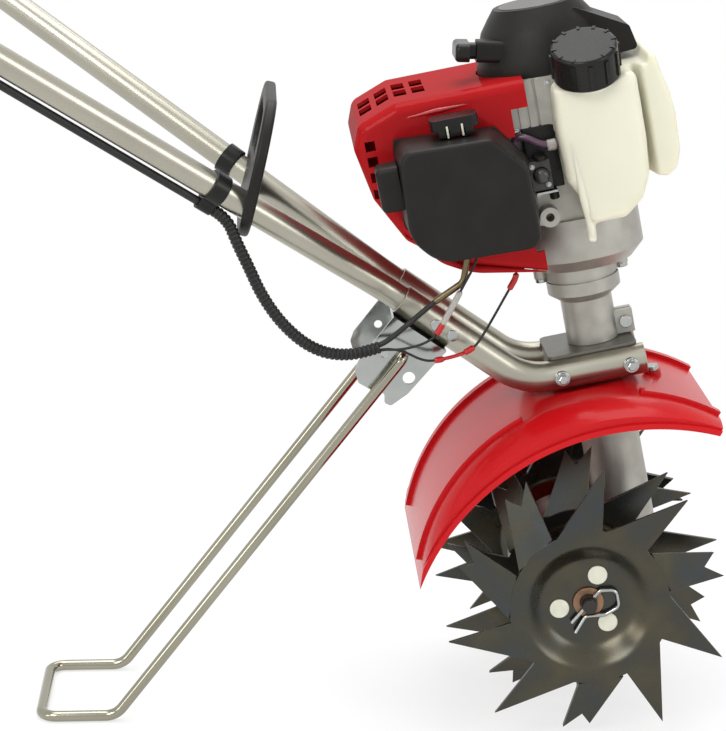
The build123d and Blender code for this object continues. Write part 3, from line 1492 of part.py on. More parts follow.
def build_nodes():
    """Every sub-part by name, in the machine frame."""
    parts = {
        "gear_housing": make_gear_housing(),
        "gear_cover": make_gear_cover(),
        "worm_shaft": make_worm_shaft(),
        "worm_wheel": make_worm_wheel(),
        "bearings": make_bearings() + make_axle_seals(),
        "axle": make_axle(),
        "tine_hubs": make_tine_hubs(),
        "tine_rivets": make_tine_rivets(),
        "hairpin_clips": [make_clip(-clip_y), make_clip(clip_y)],
        "clutch_housing": make_clutch_housing(),
        "clutch_drum": make_clutch_drum(),
        "clutch_shoes": make_clutch_shoes(),
        "crankshaft": make_crankshaft(),
        "flywheel": make_flywheel(),
        "crankcase": make_crankcase(),
        "cylinder": make_cylinder(),
        "spark_plug": make_spark_plug(),
        "engine_cover": make_engine_cover(),
        "muffler": make_muffler(),
        "muffler_guard": make_muffler_guard(),
        "recoil_cover": make_recoil_cover(),
        "recoil_reel": make_recoil_reel(),
        "starter_grip": make_starter_grip(),
        "starter_rope": make_starter_rope(),
        "fuel_tank": make_fuel_tank(),
        "fuel_cap": make_fuel_cap(),
        "fuel_line": make_fuel_line(),
        "carburettor": make_carburettor(),
        "primer_bulb": make_primer_bulb(),
        "choke_lever": make_choke_lever(),
        "air_cleaner_base": make_air_cleaner_base(),
        "air_filter": make_air_filter(),
        "air_cleaner_cover": make_air_cleaner_cover(),
        "air_cleaner_latch": make_latch(),
        "fender": make_fender(),
        "stand_bracket": make_stand_bracket(),
        "kickstand": make_kickstand(),
        "handle_bracket": make_handle_bracket(),
        "fasteners": make_fasteners(),
        "carry_handle": make_carry_handle(),
        "throttle_housing": make_throttle_housing(),
        "throttle_trigger": make_throttle_trigger(),
        "stop_switch": make_stop_switch(),
        "cable_sheath": make_cable_sheath(),
        "cable_conduit": make_cable_conduit(),
        "cable_straps": make_cable_straps(),
        "throttle_cable": make_throttle_cable(),
        "cable_elbow": make_cable_elbow(),
        "stop_wires": make_stop_wires(),
    }
    for name, face, inward, phase in tine_stations():
        parts[name] = make_tine(face, inward, phase)
    for side, hand in ((-1, "right"), (1, "left")):
        parts["lower_handle_" + hand] = make_lower_handle(side)
        parts["upper_handle_" + hand] = make_upper_handle(side)
        parts["grip_" + hand] = make_grip(side)
    return parts


def solids_of(part):
    """The separate solids of a node."""
    if isinstance(part, list):
        return [solid for piece in part for solid in piece.solids()]
    return list(part.solids())


def main():
    """Build, lean back, set down and write every node."""
    os.makedirs("parts", exist_ok=True)
    leaned = {}
    for name, part in build_nodes().items():
        leaned[name] = [Rot(0, -lean, 0) * solid for solid in solids_of(part)]
    whole = Compound([solid for pieces in leaned.values() for solid in pieces]).bounding_box()
    middle = whole.center()
    place = Pos(-middle.X, -middle.Y, -whole.min.Z)
    for name, pieces in leaned.items():
        export_step(Compound([place * piece for piece in pieces]), "parts/" + name + ".step")


if __name__ == "__main__":
    main()
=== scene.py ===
"""Looks of the mini tiller: finishes, cords, small hardware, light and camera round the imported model.

New pieces are drawn in the machine frame, in millimetres: the origin is the middle of the tine axle,
+X is forward, +Y is the machine's left and +Z runs up along the drive shaft.  MachineFrame turns that
into the scene's metres.
"""
from __future__ import annotations

import json
import logging
import math
from collections.abc import Callable
from dataclasses import dataclass
from enum import Enum

import bmesh
import bpy
from mathutils import Matrix, Vector

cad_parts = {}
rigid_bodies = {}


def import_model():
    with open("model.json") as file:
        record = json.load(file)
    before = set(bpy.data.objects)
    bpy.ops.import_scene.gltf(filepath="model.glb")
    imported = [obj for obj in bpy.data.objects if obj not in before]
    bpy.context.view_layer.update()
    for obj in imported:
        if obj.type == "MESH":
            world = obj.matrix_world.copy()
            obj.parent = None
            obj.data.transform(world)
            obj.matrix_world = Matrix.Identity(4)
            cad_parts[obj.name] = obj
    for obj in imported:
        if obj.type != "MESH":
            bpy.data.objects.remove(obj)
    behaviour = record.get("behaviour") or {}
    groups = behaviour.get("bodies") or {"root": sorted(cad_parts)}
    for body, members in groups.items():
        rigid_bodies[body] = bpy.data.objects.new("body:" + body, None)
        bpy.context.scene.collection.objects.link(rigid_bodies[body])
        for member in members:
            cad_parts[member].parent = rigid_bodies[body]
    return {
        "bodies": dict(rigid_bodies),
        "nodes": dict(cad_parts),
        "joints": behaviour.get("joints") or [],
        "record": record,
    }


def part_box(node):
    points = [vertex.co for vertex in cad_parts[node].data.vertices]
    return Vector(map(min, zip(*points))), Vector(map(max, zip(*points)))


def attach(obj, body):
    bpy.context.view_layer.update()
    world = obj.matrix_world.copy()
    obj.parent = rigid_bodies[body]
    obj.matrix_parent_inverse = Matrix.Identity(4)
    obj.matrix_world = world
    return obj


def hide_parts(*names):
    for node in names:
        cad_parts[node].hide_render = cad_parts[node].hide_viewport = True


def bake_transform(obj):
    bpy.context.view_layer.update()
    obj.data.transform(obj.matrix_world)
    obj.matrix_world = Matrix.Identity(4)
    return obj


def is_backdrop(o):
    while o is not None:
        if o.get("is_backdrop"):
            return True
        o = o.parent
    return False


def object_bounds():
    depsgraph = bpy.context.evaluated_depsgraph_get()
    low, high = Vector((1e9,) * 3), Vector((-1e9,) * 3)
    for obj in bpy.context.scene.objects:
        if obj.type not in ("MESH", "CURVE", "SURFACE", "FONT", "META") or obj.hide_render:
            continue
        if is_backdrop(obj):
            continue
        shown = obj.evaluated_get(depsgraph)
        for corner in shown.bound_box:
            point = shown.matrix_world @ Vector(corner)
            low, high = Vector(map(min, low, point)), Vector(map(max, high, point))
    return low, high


LOG = logging.getLogger("tiller")
MM = 0.001
Point = tuple[float, float, float]
Colour = tuple[float, float, float]

# Edges above this angle stay sharp, unless a piece says otherwise
SHARP_DEGREES = 32.0

# How far the outer tones lie from the middle of the noise, and how rough the clear coats are
TONE_REACH = 0.25
COAT_ROUGHNESS = 0.05

# Octaves of the noise patterns, and how much finer the gloss varies than the tone
TONE_DETAIL = 4.0
GLOSS_DETAIL = 5.0
GLOSS_SCALE = 2.3
GRAIN_DETAIL = 3.0
WAVE_DETAIL = 1.0

# Reach of red, green and blue light in milky plastic, and its scale in metres
MILKY_REACH = (1.0, 0.9, 0.6)
MILKY_SCALE = 0.012


class Body(Enum):
    """Bodies that new pieces ride on."""

    FRAME = "frame"
    STARTER = "starter"
    CAP = "cap"


class Slot(Enum):
    """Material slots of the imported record."""

    RED_PLASTIC = "red_plastic"
    RED_STEEL = "red_steel"
    BLACK_PLASTIC = "black_plastic"
    SWITCH_RED = "switch_red"
    TANK = "tank_plastic"
    CAST = "cast_aluminium"
    TUBE = "tube_steel"
    ZINC = "zinc_steel"
    DARK_STEEL = "dark_steel"
    HUB = "hub_steel"
    MACHINED = "machined_steel"
    BRONZE = "bronze"
    FOAM = "foam"
    RUBBER = "rubber_black"
    HOSE = "fuel_hose"
    PRIMER = "primer_clear"


def feed(tree: bpy.types.NodeTree, socket: bpy.types.NodeSocket, value: object) -> None:
    """Link another node's output to an input, or set the input to a plain value.

    Args:
        tree: The node tree.
        socket: The input.
        value: The output socket or the value.
    """
    if isinstance(value, bpy.types.NodeSocket):
        tree.links.new(value, socket)
    else:
        socket.default_value = value


def add_node(tree: bpy.types.NodeTree, kind: str, settings: dict[str, object] | None = None,
             **links: object) -> bpy.types.Node:
    """Add a node to a tree, and set or link its inputs.

    Args:
        tree: The node tree of a material, the world or a modifier.
        kind: The node's type.
        settings: Node properties.
        links: Values or sockets by input name, with _ for a space.

    Returns:
        The node.
    """
    made = tree.nodes.new(kind)
    for key, value in (settings or {}).items():
        setattr(made, key, value)
    for key, value in links.items():
        feed(tree, made.inputs[key.replace("_", " ")], value)
    return made


def add_math(tree: bpy.types.NodeTree, operation: str, first: object,
             second: object = 0.0) -> bpy.types.NodeSocket:
    """Add a sum of two numbers to a tree.

    Args:
        tree: The node tree.
        operation: The math node's operation.
        first: First value or socket.
        second: Second value or socket.

    Returns:
        The result's socket.
    """
    made = add_node(tree, "ShaderNodeMath", {"operation": operation})
    feed(tree, made.inputs[0], first)
    feed(tree, made.inputs[1], second)
    return made.outputs[0]


@dataclass(frozen=True)
class Finish:
    """A procedural finish: a base colour, further tones in blotches, fine grain and slow waves.

    Colours are linear.  Scales are patterns per metre of Object coordinates, and heights are millimetres.
    """

    name: str
    slot: Slot
    colour: Colour
    tone: Colour
    tone_scale: float = 30.0
    third_tone: Colour | None = None
    metallic: float = 0.0
    roughness: float = 0.5
    roughness_spread: float = 0.0
    grain_scale: float = 0.0
    grain_height: float = 0.0
    wave_scale: float = 0.0
    wave_height: float = 0.0
    specular: float = 0.5
    coat: float = 0.0
    subsurface: float = 0.0
    transmission: float = 0.0

    def material(self) -> bpy.types.Material:
        """Make the material, or find it where it has been made.

        Returns:
            The node material with this finish.
        """
        found = bpy.data.materials.get(self.name)
        if found is not None:
            return found
        made = bpy.data.materials.new(self.name)
        made.use_nodes = True
        tree = made.node_tree
        shader = tree.nodes["Principled BSDF"]
        values = {
            "Base Color": (*self.colour, 1.0),
            "Metallic": self.metallic,
            "Roughness": self.roughness,
            "Specular IOR Level": self.specular,
            "Coat Weight": self.coat,
            "Coat Roughness": COAT_ROUGHNESS,
            "Transmission Weight": self.transmission,
            "Subsurface Weight": self.subsurface,
            "Subsurface Radius": MILKY_REACH,
            "Subsurface Scale": MILKY_SCALE,
        }
        for name, value in values.items():
            shader.inputs[name].default_value = value
        place = tree.nodes.new("ShaderNodeTexCoord").outputs["Object"]
        self.add_tone(tree, shader, place)
        if self.roughness_spread:
            self.add_roughness(tree, shader, place)
        if self.grain_scale:
            self.add_grain(tree, shader, place)
        made.diffuse_color = (*self.colour, 1.0)
        return made

    def noise(self, tree: bpy.types.NodeTree, place: bpy.types.NodeSocket, scale: float,
              detail: float) -> bpy.types.NodeSocket:
        """Add a noise pattern.

        Args:
            tree: The material's node tree.
            place: The pattern's coordinates.
            scale: Patterns per metre.
            detail: Octaves of the noise.

        Returns:
            The socket with the noise value.
        """
        node = add_node(tree, "ShaderNodeTexNoise", Scale=scale, Detail=detail, Vector=place)
        return node.outputs["Fac"]

    def add_tone(self, tree: bpy.types.NodeTree, shader: bpy.types.Node,
                 place: bpy.types.NodeSocket) -> None:
        """Mix the other tones into the base colour in soft blotches.

        Args:
            tree: The material's node tree.
            shader: The principled shader.
            place: The pattern's coordinates.
        """
        pattern = self.noise(tree, place, self.tone_scale, TONE_DETAIL)
        ramp = add_node(tree, "ShaderNodeValToRGB", Fac=pattern)
        first, second = ramp.color_ramp.elements
        first.position = 0.5 - TONE_REACH
        first.color = (*self.colour, 1.0)
        second.position = 0.5 + TONE_REACH
        second.color = (*self.tone, 1.0)
        if self.third_tone is not None:
            second.position = 0.5
            third = ramp.color_ramp.elements.new(0.5 + TONE_REACH)
            third.color = (*self.third_tone, 1.0)
        tree.links.new(ramp.outputs["Color"], shader.inputs["Base Color"])

    def add_roughness(self, tree: bpy.types.NodeTree, shader: bpy.types.Node,
                      place: bpy.types.NodeSocket) -> None:
        """Vary the gloss about its mean, as handling and casting do.

        Args:
            tree: The material's node tree.
            shader: The principled shader.
            place: The pattern's coordinates.
        """
        pattern = self.noise(tree, place, self.tone_scale * GLOSS_SCALE, GLOSS_DETAIL)
        spread = add_node(tree, "ShaderNodeMapRange", Value=pattern,
                          To_Min=self.roughness - self.roughness_spread,
                          To_Max=self.roughness + self.roughness_spread)
        tree.links.new(spread.outputs["Result"], shader.inputs["Roughness"])

    def bump(self, tree: bpy.types.NodeTree, place: bpy.types.NodeSocket, scale: float, detail: float,
             height: float) -> bpy.types.Node:
        """Add a bump that follows a noise pattern.

        Args:
            tree: The material's node tree.
            place: The pattern's coordinates.
            scale: Patterns per metre.
            detail: Octaves of the noise.
            height: Height of the bump in millimetres.

        Returns:
            The bump node.
        """
        pattern = self.noise(tree, place, scale, detail)
        return add_node(tree, "ShaderNodeBump", Strength=1.0, Distance=height * MM, Height=pattern)

    def add_grain(self, tree: bpy.types.NodeTree, shader: bpy.types.Node,
                  place: bpy.types.NodeSocket) -> None:
        """Add the fine bump of a moulded, cast, sprayed or brushed skin.

        Args:
            tree: The material's node tree.
            shader: The principled shader.
            place: The pattern's coordinates.
        """
        grain = self.bump(tree, place, self.grain_scale, GRAIN_DETAIL, self.grain_height)
        tree.links.new(grain.outputs["Normal"], shader.inputs["Normal"])
        if self.wave_height:
            wave = self.bump(tree, place, self.wave_scale, WAVE_DETAIL, self.wave_height)
            tree.links.new(wave.outputs["Normal"], grain.inputs["Normal"])


RED_PAINT = Finish("red_moulded_paint", Slot.RED_PLASTIC, (0.37, 0.010, 0.012), (0.32, 0.008, 0.010), 9.0,
                   roughness=0.26, roughness_spread=0.04, grain_scale=320.0, grain_height=0.012,
                   wave_scale=28.0, wave_height=0.1, specular=0.0, coat=0.12)
RIDGE_RED = Finish("red_gloss_ridge", Slot.RED_PLASTIC, (0.37, 0.010, 0.012), (0.32, 0.008, 0.010), 9.0,
                   roughness=0.12, roughness_spread=0.03, grain_scale=320.0, grain_height=0.004, coat=0.6)
FENDER_RED = Finish("red_powder_coat", Slot.RED_STEEL, (0.52, 0.007, 0.010), (0.44, 0.005, 0.008), 7.0,
                    roughness=0.24, roughness_spread=0.04, grain_scale=420.0, grain_height=0.012,
                    wave_scale=22.0, wave_height=0.12, specular=0.12, coat=0.1)
BLACK_PLASTIC = Finish("black_moulded_plastic", Slot.BLACK_PLASTIC, (0.0095, 0.0088, 0.0076),
                       (0.014, 0.0132, 0.0115), 45.0, roughness=0.44, roughness_spread=0.07,
                       grain_scale=1500.0, grain_height=0.04, specular=0.17)
SMOOTH_BLACK = Finish("black_smooth_plastic", Slot.BLACK_PLASTIC, (0.0085, 0.0083, 0.0078),
                      (0.014, 0.0135, 0.0125), 30.0, roughness=0.27, roughness_spread=0.06,
                      grain_scale=900.0, grain_height=0.015, specular=0.2)
SWITCH_RED = Finish("red_switch_plastic", Slot.SWITCH_RED, (0.56, 0.012, 0.010), (0.46, 0.010, 0.008), 60.0,
                    roughness=0.35, grain_scale=1200.0, grain_height=0.02)
TANK_PLASTIC = Finish("milky_tank_plastic", Slot.TANK, (0.73, 0.71, 0.565), (0.69, 0.665, 0.515), 14.0,
                      roughness=0.38, roughness_spread=0.05, grain_scale=700.0, grain_height=0.04,
                      wave_scale=26.0, wave_height=0.25, specular=0.35, subsurface=0.35)
CAST_ALUMINIUM = Finish("sand_cast_aluminium", Slot.CAST, (0.44, 0.43, 0.385), (0.33, 0.32, 0.285), 60.0,
                        metallic=0.75, roughness=0.44, roughness_spread=0.10, grain_scale=900.0,
                        grain_height=0.08)
DARK_CAST = Finish("dark_die_casting", Slot.CAST, (0.075, 0.073, 0.068), (0.045, 0.044, 0.041), 90.0,
                   metallic=0.6, roughness=0.42, roughness_spread=0.10, grain_scale=1100.0,
                   grain_height=0.05)
PLATE_GREY = Finish("satin_grey_plate", Slot.BLACK_PLASTIC, (0.12, 0.118, 0.112),
                    (0.10, 0.098, 0.094), 60.0, roughness=0.42, roughness_spread=0.05,
                    grain_scale=1400.0, grain_height=0.004, specular=0.2)
TUBE_STEEL = Finish("satin_nickel_tube", Slot.TUBE, (0.43, 0.415, 0.345), (0.37, 0.355, 0.295), 18.0,
                    metallic=0.95, roughness=0.30, roughness_spread=0.04)
ZINC_STEEL = Finish("bright_zinc_plate", Slot.ZINC, (0.46, 0.475, 0.455), (0.35, 0.37, 0.36), 35.0,
                    metallic=1.0, roughness=0.15, roughness_spread=0.05, grain_scale=600.0,
                    grain_height=0.004, wave_scale=45.0, wave_height=0.9)
BRACKET_STEEL = Finish("satin_zinc_plate", Slot.ZINC, (0.15, 0.145, 0.122), (0.12, 0.116, 0.097), 40.0,
                       metallic=0.6, roughness=0.34, roughness_spread=0.06, grain_scale=900.0,
                       grain_height=0.006)
STAND_WIRE = Finish("bright_zinc_wire", Slot.ZINC, (0.36, 0.345, 0.275), (0.29, 0.275, 0.215), 12.0,
                    metallic=1.0, roughness=0.14, roughness_spread=0.03)
TINE_STEEL = Finish("heat_tinted_tine_steel", Slot.DARK_STEEL, (0.088, 0.077, 0.051),
                    (0.064, 0.062, 0.050), 26.0, (0.052, 0.061, 0.068), metallic=0.9, roughness=0.27,
                    roughness_spread=0.08, grain_scale=420.0, grain_height=0.006, wave_scale=30.0,
                    wave_height=0.15)
DARK_STEEL = Finish("oiled_dark_steel", Slot.DARK_STEEL, (0.04, 0.039, 0.037), (0.065, 0.060, 0.054), 50.0,
                    metallic=0.9, roughness=0.36, roughness_spread=0.1, grain_scale=800.0,
                    grain_height=0.02)
HUB_STEEL = Finish("coppery_hub_steel", Slot.HUB, (0.32, 0.185, 0.115), (0.21, 0.12, 0.075), 160.0,
                   metallic=0.85, roughness=0.38, roughness_spread=0.1, grain_scale=1400.0,
                   grain_height=0.02)
RIVET_STEEL = Finish("pale_rivet_zinc", Slot.ZINC, (0.70, 0.69, 0.57), (0.60, 0.585, 0.48), 150.0,
                     metallic=0.35, roughness=0.36, roughness_spread=0.08, grain_scale=1500.0,
                     grain_height=0.01)
MACHINED_STEEL = Finish("machined_steel", Slot.MACHINED, (0.52, 0.52, 0.50), (0.43, 0.43, 0.41), 90.0,
                        metallic=1.0, roughness=0.28, roughness_spread=0.06, grain_scale=1500.0,
                        grain_height=0.006)
BRONZE = Finish("gear_bronze", Slot.BRONZE, (0.46, 0.27, 0.10), (0.36, 0.20, 0.07), 60.0, metallic=1.0,
                roughness=0.35, roughness_spread=0.08, grain_scale=900.0, grain_height=0.02)
BRASS = Finish("dull_brass_tube", Slot.BRONZE, (0.20, 0.155, 0.085), (0.13, 0.105, 0.06), 150.0,
               metallic=1.0, roughness=0.30, roughness_spread=0.08, grain_scale=900.0, grain_height=0.006)
FOAM = Finish("closed_cell_foam", Slot.FOAM, (0.016, 0.016, 0.016), (0.027, 0.027, 0.026), 300.0,
              roughness=0.92, grain_scale=1100.0, grain_height=0.35, specular=0.25)
RUBBER = Finish("black_rubber", Slot.RUBBER, (0.010, 0.010, 0.0095), (0.016, 0.0155, 0.015), 80.0,
                roughness=0.48, roughness_spread=0.08, grain_scale=1200.0, grain_height=0.02, specular=0.35)
RED_WIRE = Finish("red_wire_sleeve", Slot.RUBBER, (0.48, 0.008, 0.010), (0.38, 0.006, 0.008), 200.0,
                  roughness=0.30, grain_scale=900.0, grain_height=0.01)
CLEAR_SLEEVE = Finish("clear_vinyl_sleeve", Slot.PRIMER, (0.68, 0.65, 0.60), (0.60, 0.56, 0.51), 90.0,
                      roughness=0.22, grain_scale=600.0, grain_height=0.01, transmission=0.45)
FUEL_HOSE = Finish("tinted_fuel_hose", Slot.HOSE, (0.15, 0.075, 0.125), (0.10, 0.05, 0.085), 120.0,
                   roughness=0.24, grain_scale=700.0, grain_height=0.01, transmission=0.25)
PRIMER_SMOKE = Finish("smoky_primer_rubber", Slot.PRIMER, (0.055, 0.052, 0.047), (0.04, 0.038, 0.035),
                      120.0, roughness=0.22, grain_scale=700.0, grain_height=0.01)


@dataclass(frozen=True)
class MachineFrame:
    """Where the machine stands in the scene."""

    axle: Vector
    lean_degrees: float = 11.0

    def matrix(self) -> Matrix:
        """The matrix from machine millimetres to scene metres."""
        turn = Matrix.Rotation(-math.radians(self.lean_degrees), 4, "Y")
        return Matrix.Translation(self.axle) @ turn @ Matrix.Scale(MM, 4)

    def point(self, spot: Point) -> Vector:
        """A machine point, in scene metres."""
        return self.matrix() @ Vector(spot)


@dataclass(frozen=True)
class HandleLine:
    """Centre line of one upper handle tube, in machine millimetres; side is -1 right or +1 left."""

    side: float
    kink_place: Point = (-96.8, 28.5, 236.8)
    run_way: Point = (-0.6738, 0.2756, 0.6857)
    down_way: Point = (-0.7133, 0.0, -0.7009)
    splay_run: float = 610.0
    grip_run: float = 200.0
    grip_degrees: float = 12.0
    cable_drop: float = 14.125

    def sided(self, left: Point) -> Vector:
        """A point or direction of the left tube, on this tube's side."""
        return Vector((left[0], self.side * left[1], left[2]))

    def kink(self) -> Vector:
        """Where the tube starts to splay."""
        return self.sided(self.kink_place)

    def run(self) -> Vector:
        """Direction of the splayed run."""
        return self.sided(self.run_way)

    def down(self) -> Vector:
        """Direction square to the run, towards the cable below the tube."""
        return self.sided(self.down_way)

    def grip(self) -> Vector:
        """Direction of the grip, towards its free end."""
        turn = math.radians(self.grip_degrees)
        return Vector((-math.cos(turn), 0.0, math.sin(turn)))

    def end(self) -> Vector:
        """The tube's free end."""
        return self.kink() + self.run() * self.splay_run + self.grip() * self.grip_run

    def cable(self, step: float) -> Vector:
        """A point on the cable below the tube, by its distance from the splay."""
        return self.kink() + self.run() * step + self.down() * self.cable_drop

    def cable_corner(self) -> Vector:
        """Find where the cable below the run meets the cable below the grip.

        Returns:
            The corner, in machine millimetres.
        """
        turn = math.radians(self.grip_degrees)
        below = Vector((-math.sin(turn), 0.0, -math.cos(turn)))
        slide = self.cable_drop * (1.0 - self.down().dot(below)) / self.run().dot(below)
        return self.cable(self.splay_run + slide)


@dataclass(frozen=True)
class Dressing:
    """How one CAD node is shown: its finish, the softened edge and the angle that stays sharp."""

    node: str
    finish: Finish
    edge_mm: float = 0.4
    sharp_degrees: float = SHARP_DEGREES
    edge_steps: int = 2


class Workshop:
    """Shared means of every sub-assembly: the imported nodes, the machine frame and finishing steps.

    Vertices of a CAD node are joined below join_distance, in metres, and its faces below flat_degrees.
    """

    join_distance: float = 2e-6
    flat_degrees: float = 0.6
    cord_order: int = 3
    cord_steps: int = 12
    cord_roundness: int = 5

    def __init__(self) -> None:
        """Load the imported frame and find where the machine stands."""
        self.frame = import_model()
        self.cad_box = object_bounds()
        low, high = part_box("axle")
        self.machine = MachineFrame((low + high) / 2)
        self.body_of = {node: body for body, nodes in self.frame["record"]["behaviour"]["bodies"].items()
                        for node in nodes}

    def finish_piece(self, piece: bpy.types.Object, finish: Finish, body: str = Body.FRAME.value,
                     replaces: tuple[str, ...] = ()) -> None:
        """Give a piece its material, body and the nodes that it stands for.

        Args:
            piece: The piece, in place.
            finish: Its finish.
            body: The CAD body that it rides on.
            replaces: CAD nodes that it stands for.
        """
        piece.data.materials.clear()
        piece.data.materials.append(finish.material())
        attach(piece, body)
        if replaces:
            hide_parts(*replaces)
        LOG.info("piece %s on %s", piece.name, body)

    def link(self, name: str, data: bpy.types.ID) -> bpy.types.Object:
        """Put new object data in the scene.

        Args:
            name: The piece's name.
            data: A mesh or a curve.

        Returns:
            The new object.
        """
        piece = bpy.data.objects.new(name, data)
        bpy.context.scene.collection.objects.link(piece)
        return piece

    def place_mesh(self, name: str, work: bmesh.types.BMesh,
                   sharp_degrees: float = SHARP_DEGREES) -> bpy.types.Object:
        """Turn a mesh drawn in machine millimetres into an object in place.

        Args:
            name: The object's name.
            work: The drawn mesh, which is freed.
            sharp_degrees: Edges above this angle stay sharp.

        Returns:
            The new object.
        """
        work.transform(self.machine.matrix())
        bmesh.ops.recalc_face_normals(work, faces=work.faces)
        mesh = smooth_mesh(name, work)
        mesh.set_sharp_from_angle(angle=math.radians(sharp_degrees))
        return self.link(name, mesh)

    def add_piece(self, name: str, work: bmesh.types.BMesh, finish: Finish, body: str = Body.FRAME.value,
                  replaces: tuple[str, ...] = (), sharp_degrees: float = SHARP_DEGREES) -> bpy.types.Object:
        """Turn a mesh drawn in machine millimetres into a finished piece in place.

        Args:
            name: The piece's name.
            work: The drawn mesh, which is freed.
            finish: Its finish.
            body: The CAD body that it rides on.
            replaces: CAD nodes that it stands for.
            sharp_degrees: Edges above this angle stay sharp.

        Returns:
            The piece.
        """
        piece = self.place_mesh(name, work, sharp_degrees)
        self.finish_piece(piece, finish, body, replaces)
        return piece

    def merged_copy(self, node: str) -> bmesh.types.BMesh:
        """Copy a CAD node with its loose triangles joined.

        Args:
            node: The CAD node.

        Returns:
            The copy, in scene metres.
        """
        work = bmesh.new()
        work.from_mesh(self.frame["nodes"][node].data)
        bmesh.ops.remove_doubles(work, verts=work.verts, dist=self.join_distance)
        bmesh.ops.dissolve_limit(work, angle_limit=math.radians(self.flat_degrees), verts=work.verts,
                                 edges=work.edges)
        return work

    def dress(self, dressing: Dressing,
              reshape: Callable[[bmesh.types.BMesh], None] | None = None) -> bpy.types.Object:
        """Stand a merged and edge-softened copy in for a CAD node.

        Args:
            dressing: The node and how it is shown.
            reshape: A step that refines the merged copy, in machine millimetres.

        Returns:
            The copy.
        """
        work = self.merged_copy(dressing.node)
        if reshape is not None:
            work.transform(self.machine.matrix().inverted())
            reshape(work)
            work.transform(self.machine.matrix())
        mesh = smooth_mesh(dressing.node + "_skin", work)
        mesh.set_sharp_from_angle(angle=math.radians(dressing.sharp_degrees))
        piece = self.link(dressing.node + "_skin", mesh)
        if dressing.edge_mm:
            bevel = piece.modifiers.new("edge", "BEVEL")
            bevel.width = dressing.edge_mm * MM
            bevel.segments = dressing.edge_steps
            bevel.limit_method = "ANGLE"
            bevel.angle_limit = math.radians(dressing.sharp_degrees)
            even = piece.modifiers.new("even_shading", "WEIGHTED_NORMAL")
            even.keep_sharp = False
        self.finish_piece(piece, dressing.finish, self.body_of[dressing.node], (dressing.node,))
        return piece

    def dress_all(self, dressings: tuple[Dressing, ...]) -> None:
        """Dress several CAD nodes."""
        for dressing in dressings:
            self.dress(dressing)

    def nurbs(self, name: str, route: list[Vector], radius_mm: float) -> bpy.types.Object:
        """Lay a smooth line with a route's points as its control points.

        Args:
            name: The piece's name.
            route: Control points, in scene metres.
            radius_mm: Radius of the round section; 0 leaves the bare line.

        Returns:
            The curve object.
        """
        curve = bpy.data.curves.new(name, "CURVE")
        curve.dimensions = "3D"
        spline = curve.splines.new("NURBS")
        spline.points.add(len(route) - 1)
        for control, spot in zip(spline.points, route):
            control.co = (*spot, 1.0)
        spline.order_u = self.cord_order
        spline.use_endpoint_u = True
        spline.resolution_u = self.cord_steps
        curve.bevel_depth = radius_mm * MM
        curve.bevel_resolution = self.cord_roundness
        curve.use_fill_caps = True
        return self.link(name, curve)

    def line_points(self, route: list[Vector]) -> list[Vector]:
        """Read the points of a route's smooth line.

        Args:
            route: Control points, in scene metres.

        Returns:
            Points along the line, in scene metres.
        """
        bare = self.nurbs("bare_line", route, 0.0)
        curve = bare.data
        mesh = baked_mesh(bare)
        points = [vertex.co.copy() for vertex in mesh.vertices]
        bpy.data.curves.remove(curve)
        bpy.data.meshes.remove(mesh)
        return points


def smooth_mesh(name: str, work: bmesh.types.BMesh) -> bpy.types.Mesh:
    """Turn a drawn mesh into object data with smooth shading.

    Args:
        name: The name of the data.
        work: The drawn mesh, which is freed.

    Returns:
        The object data.
    """
    mesh = bpy.data.meshes.new(name)
    work.to_mesh(mesh)
    work.free()
    mesh.shade_smooth()
    return mesh


def baked_mesh(source: bpy.types.Object) -> bpy.types.Mesh:
    """Take the mesh that an object shows under its modifiers.

    Args:
        source: The object, which is removed.

    Returns:
        The object data.
    """
    graph = bpy.context.evaluated_depsgraph_get()
    mesh = bpy.data.meshes.new_from_object(source.evaluated_get(graph))
    bpy.data.objects.remove(source)
    return mesh


def join_rings(work: bmesh.types.BMesh, rings: list[list[bmesh.types.BMVert]]) -> None:
    """Join rings of equally many vertices with strips of four-sided faces.

    Args:
        work: The mesh that is drawn.
        rings: The rings, from one end to the other.
    """
    count = len(rings[0])
    for one, two in zip(rings, rings[1:]):
        for index in range(count):
            after = (index + 1) % count
            work.faces.new((one[index], one[after], two[after], two[index]))


def smooth_step(share: float) -> float:
    """A share from 0 to 1 that starts and stops softly."""
    return share * share * (3.0 - 2.0 * share)


def run_length(points: list[Vector]) -> float:
    """The length of a line of points."""
    return sum((b - a).length for a, b in zip(points, points[1:]))


def part_of_line(points: list[Vector], first: float, last: float) -> list[Vector]:
    """The stretch of a line between two shares of its length.

    Args:
        points: The whole line.
        first: Share of the length where the stretch starts.
        last: Share of the length where it ends.

    Returns:
        The points of the stretch.
    """
    total = run_length(points)
    kept = []
    done = 0.0
    for a, b in zip(points, points[1:]):
        step = (b - a).length
        for share in (first, last):
            target = share * total
            if done <= target < done + step:
                kept.append(a.lerp(b, (target - done) / step))
        done += step
        if first * total < done < last * total:
            kept.append(b.copy())
    return kept


def bent_path(corners: list[Vector], radii: tuple[float, ...], steps: int) -> list[Vector]:
    """Points along the straight runs and round bends of a bent tube or wire.

    Args:
        corners: Where the runs meet, with both ends.
        radii: Bend radius at each inner corner.
        steps: Steps in each bend.

    Returns:
        The points of the centre line.
    """
    points = [corners[0]]
    for before, corner, after, radius in zip(corners, corners[1:], corners[2:], radii):
        back = (before - corner).normalized()
        onward = (after - corner).normalized()
        half = back.angle(onward) / 2
        middle = corner + (back + onward).normalized() * (radius / math.sin(half))
        start = corner + back * (radius / math.tan(half)) - middle
        end = corner + onward * (radius / math.tan(half)) - middle
        for step in range(steps + 1):
            points.append(middle + start.slerp(end, step / steps).normalized() * radius)
    points.append(corners[-1])
    return points


